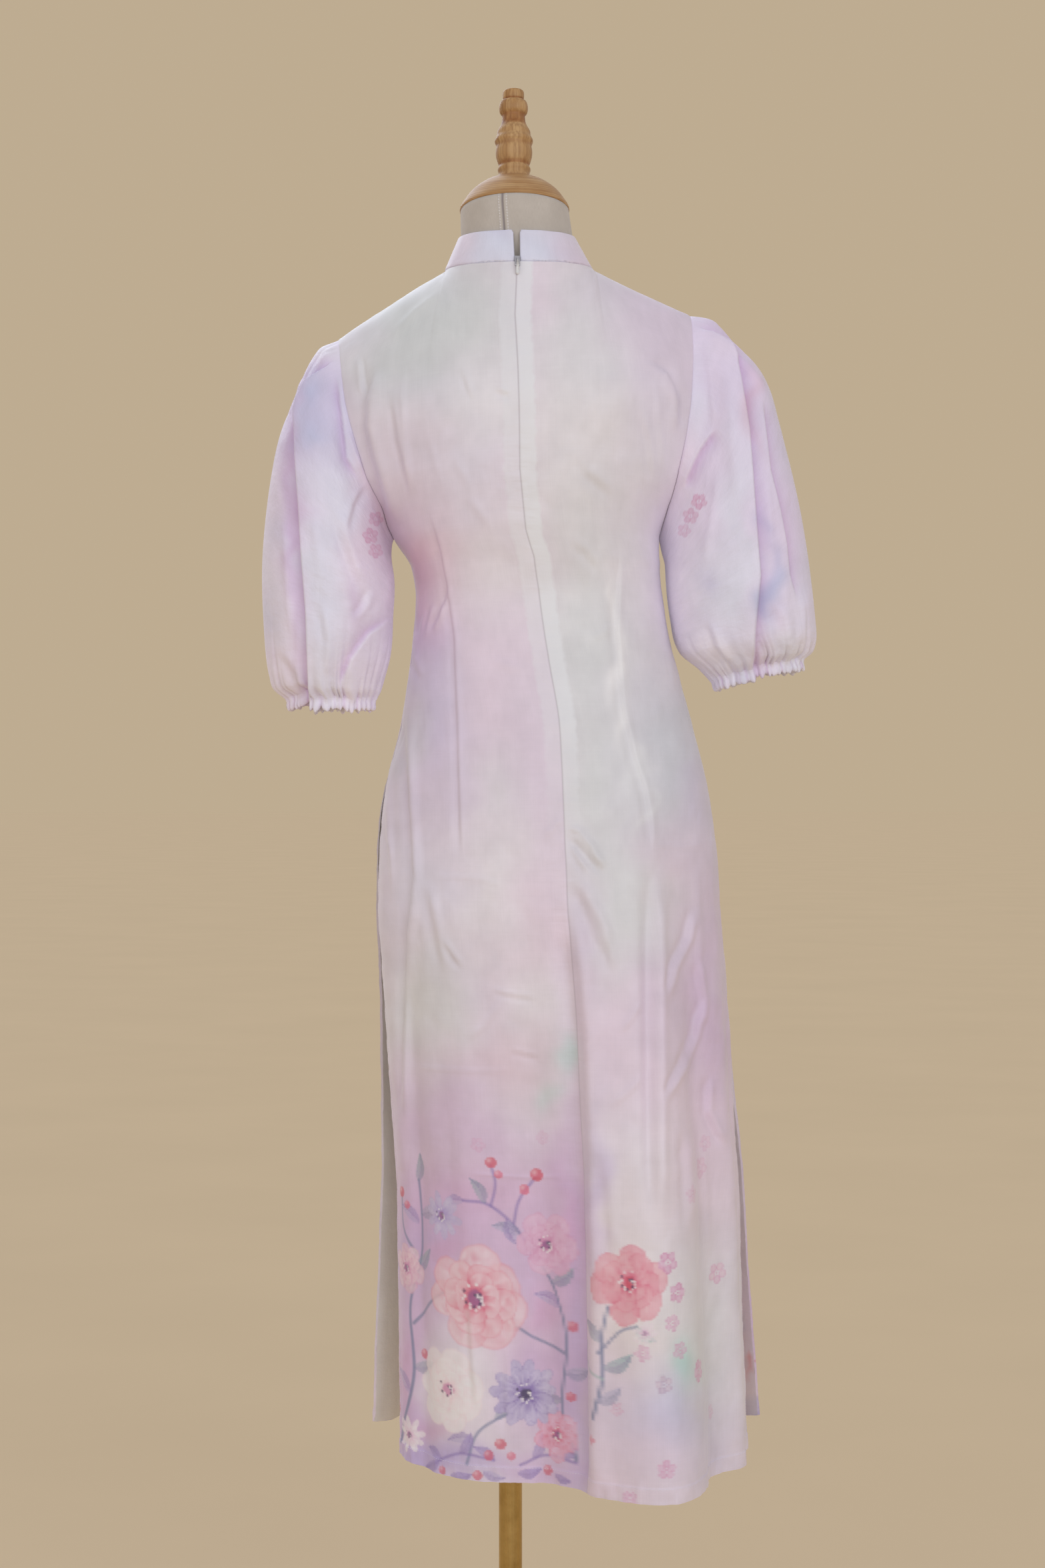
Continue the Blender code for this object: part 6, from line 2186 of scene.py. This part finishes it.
def hem_stitches(name, panel_piece, outward, columns, material):
    """The stitch rows of a panel: along its hem, and up its slits at the given columns."""
    grid, places = panel_piece["grid"], panel_piece["places"]
    away = normals(grid) * outward
    hem_row = nearest(places, HEM_KNOT - HEM_HEIGHT)
    slit_row = nearest(places, SLIT_KNOT + SLIT_STITCH_START)
    inner = slice(STITCH_MARGIN, -STITCH_MARGIN)
    patches = Patches()
    stitch_row(patches, grid[hem_row, inner], away[hem_row, inner])
    for column in columns:
        stitch_row(patches, grid[slit_row:hem_row, column], away[slit_row:hem_row, column])
    add_piece(name, patches.mesh(name), material)


# ---------------------------------------------------------------- form and stand


def build_form(material):
    """The dress form's jersey cover, with its seam down the back."""
    angle = angles_round(FORM_COLUMNS)
    z_table, *measures = np.array(FORM_SECTIONS)[::-1].T
    heights = np.concatenate([np.linspace(*span) for span in FORM_ROWS])
    rows = []
    for z in heights:
        half_width, back, front, slope = (np.interp(z, z_table, measure) for measure in measures)
        y = np.where(np.sin(angle) > 0, back, front) * np.sin(angle)
        rows.append(np.stack([half_width * np.cos(angle), y, z + slope * y], axis=1))
    grid = lean(np.array(rows))
    grid[-1, :, 2] = FORM_SECTIONS[-1][0]
    # The cover turns in a little under the cap and over the foot's board, and both ends are closed.
    top_middle, foot_middle = grid[0].mean(axis=0), grid[-1].mean(axis=0)
    from_top_middle = grid[0] - top_middle
    from_foot_middle = grid[-1] - foot_middle
    lips = [top_middle + from_top_middle * share for share in (CLOSED_SHARE, LIP_SHARE)]
    feet = [foot_middle + from_foot_middle * (share, share, 1.0) for share in (FOOT_SHARE, CLOSED_SHARE)]
    grid = np.concatenate([lips, grid, feet])
    run = run_across(grid)
    seam_column = nearest(np.degrees(angle), FORM_SEAM_DEG)
    u = run - run[:, seam_column : seam_column + 1]
    v = np.concatenate([np.zeros(len(lips)), heights, np.full(len(feet), FORM_FOOT)])[:, None]
    patches = Patches()
    patches.add(grid, True, place=paired(u, v))
    add_piece("form_cover", patches.mesh("form_cover"), material, "dress_form")


def build_zip_pull(material):
    """A small drop-shaped plate with a raised rim, hanging where the CAD's pull hangs."""
    low, high = (np.array(corner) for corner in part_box("zip_pull"))
    middle = (low + high) / 2
    half_width, half_depth, half_length = (high - low) / 2 * PULL_FILL
    angle = angles_round(PULL_COLUMNS)
    along = np.cos(angle)
    wide = np.sin(angle) * (0.62 - 0.38 * along)
    rows = []
    for share, out in PULL_PROFILE:
        x = middle[0] + half_width * share * wide / PULL_WIDEST
        y = np.full(len(angle), middle[1] + half_depth * out)
        z = middle[2] + half_length * share * along
        rows.append(np.stack([x, y, z], axis=1))
    patches = Patches()
    patches.add(np.array(rows), True, True)
    add_piece("zip_pull_drop", patches.mesh("zip_pull_drop"), material, "zip_pull", "zip_pull")


def build_turned(node, profile, fine):
    """A turned wooden piece on the form's tipped neck, its profile rounded between its corners."""
    path = smoothed(profile, fine)
    path[:, 0] = np.maximum(path[:, 0], SMALLEST_RADIUS)
    # Darker where the radius is less than round about.
    index = np.arange(len(path))
    near = bell((index[:, None] - index[None, :]) / (1.5 * fine))
    around = near @ path[:, 0] / near.sum(axis=1)
    groove = smooth_step((around - path[:, 0]) / GROOVE_DEPTH)
    flat = path[:, :1, None] * circle(angles_round(TURNED_COLUMNS))
    height = np.broadcast_to(path[:, 1:, None], (len(path), TURNED_COLUMNS, 1))
    neck_z, *_, slope = FORM_SECTIONS[0]
    tip = Matrix.Rotation(math.atan(slope), 3, "X")
    points = np.concatenate([flat, height], axis=-1) @ np.array(tip).T + lean(np.array([0.0, 0.0, neck_z]))
    groove_darkened = 1 - groove[:, None, None] * (1 - np.array(GROOVE_DARKENING))
    patches = Patches()
    patches.add(points, True, colour=np.broadcast_to(groove_darkened, points.shape))
    name = node + "_turned"
    material = wood_material(node + "_wood", node == "finial")
    add_piece(name, patches.mesh(name), material, node)


def build_stand():
    """The form, its turned pieces, the metal ones and the zip's pull."""
    build_form(jersey_material())
    build_turned("neck_cap", CAP_PROFILE, 7)
    build_turned("finial", FINIAL_PROFILE, 5)
    brass = metal_material("brass", 0.27, (420.0, 420.0, 6.0))
    nickel = metal_material("zip_nickel", 0.42, (500.0, 500.0, 90.0))
    build_zip_pull(enamel_material())
    for node, material in (("pole", brass), ("base", brass), ("zip_slider", nickel)):
        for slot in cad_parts[node].material_slots:
            slot.material = material


# ---------------------------------------------------------------- the garment


def stitch_panels(backs, front):
    """Stitches each panel's hem and the edges of its slits."""
    thread = thread_material()
    half = half_columns(PANEL_STEP)
    to_slit = nearest((1 - half) * BACK_HALF_GIRTH, SLIT_HEM)
    for name, column in (("left", to_slit), ("right", len(half) - 1 - to_slit)):
        hem_stitches(f"back_{name}_stitches", backs[name], -1, [column], thread)
    half = half_columns(FRONT_STEP)
    to_slit = nearest((1 - half) * FRONT_HALF_GIRTH, SLIT_HEM)
    middle = len(half) - 1
    hem_stitches("front_stitches", front, 1, [middle - to_slit, middle + to_slit], thread)


def armhole(back, front, column):
    """The loop that a sleeve is sewn to: down the back panel's edge and up the front's."""
    count = SLEEVE_COLUMNS // 2 + 1
    halves = []
    for side, order in ((back, 1), (front, -1)):
        last = nearest(side["places"], ARMPIT_KNOT)
        edge = side["grid"][: last + 1, column][::order]
        run = run_along(edge)
        halves.append(read_along(np.linspace(0, run[-1], count), run, edge)[:-1])
    return np.concatenate(halves)


def build_garment():
    """The tunic, piece by piece, and what each piece is as cloth."""
    printed = cloth_material("printed_cloth")
    backs = build_back(cloth_material("back_cloth", seam=True))
    front = build_front(printed)
    stitch_panels(backs, front)
    sleeves = {}
    for name, column in (("left", -1), ("right", 0)):
        sleeves[name] = build_sleeve(name, armhole(backs[name], front, column), printed)
        sleeves[name]["cuff"] = build_cuff(name, sleeves[name], printed)
    collar = build_collar(cloth_material("collar_cloth", glow=0.45))


# ---------------------------------------------------------------- camera, light and floor


def build_camera():
    """The picture's own camera, level and to the side of the back's middle."""
    data = bpy.data.cameras.new("camera")
    data.sensor_fit = "HORIZONTAL"
    data.sensor_width = SENSOR_MM
    data.lens = FOCAL_PIXELS / PICTURE_WIDTH * SENSOR_MM
    data.shift_x = (PICTURE_WIDTH / 2 - AXIS_PIXEL) / PICTURE_WIDTH
    camera = linked("camera", data)
    towards_camera, _ = camera_axes()
    camera.location = Vector(towards_camera) * CAMERA_DISTANCE + Vector((0, 0, CAMERA_HEIGHT))
    camera.rotation_euler = (math.pi / 2, 0.0, math.radians(CAMERA_AZIMUTH_DEG))
    bpy.context.scene.camera = camera


def build_world():
    """A plain world: one tone behind the object, and a cooler one shed on it."""
    world = bpy.data.worlds.new("studio")
    world.use_nodes = True
    nodes = world.node_tree.nodes
    tint = nodes.new("ShaderNodeMix")
    tint.data_type = "RGBA"
    tint.inputs[6].default_value = (*AMBIENT_COLOUR, 1.0)
    tint.inputs[7].default_value = (*WORLD_COLOUR, 1.0)
    ray = nodes.new("ShaderNodeLightPath")
    world.node_tree.links.new(ray.outputs["Is Camera Ray"], tint.inputs[0])
    world.node_tree.links.new(tint.outputs[2], nodes["Background"].inputs["Color"])
    nodes["Background"].inputs["Strength"].default_value = 1.0
    bpy.context.scene.world = world
    bpy.context.scene.view_settings.view_transform = "Standard"


def build_floor():
    """A floor so wide that its far edge meets the world behind it."""
    mesh = bpy.data.meshes.new("floor")
    size = FLOOR_HALF_WIDTH
    corners = [(-size, -size, 0), (size, -size, 0), (size, size, 0), (-size, size, 0)]
    mesh.from_pydata(corners, [], [(0, 1, 2, 3)])
    mesh.materials.append(floor_material())
    linked("floor", mesh)


def build_lights():
    """Broad soft lights, each from its own direction."""
    for name, azimuth, elevation, strength, angle, colour in LIGHTS:
        light = bpy.data.lights.new(name, "SUN")
        light.energy = strength
        light.angle = math.radians(angle)
        light.color = colour
        turn, rise = math.radians(azimuth), math.radians(elevation)
        away = Vector((math.sin(turn) * math.cos(rise), -math.cos(turn) * math.cos(rise), math.sin(rise)))
        obj = linked(name, light)
        obj.location = away * LIGHT_DISTANCE
        obj.rotation_euler = (-away).to_track_quat("-Z", "Y").to_euler()


build_camera()
build_world()
build_floor()
build_lights()
build_stand()
build_garment()
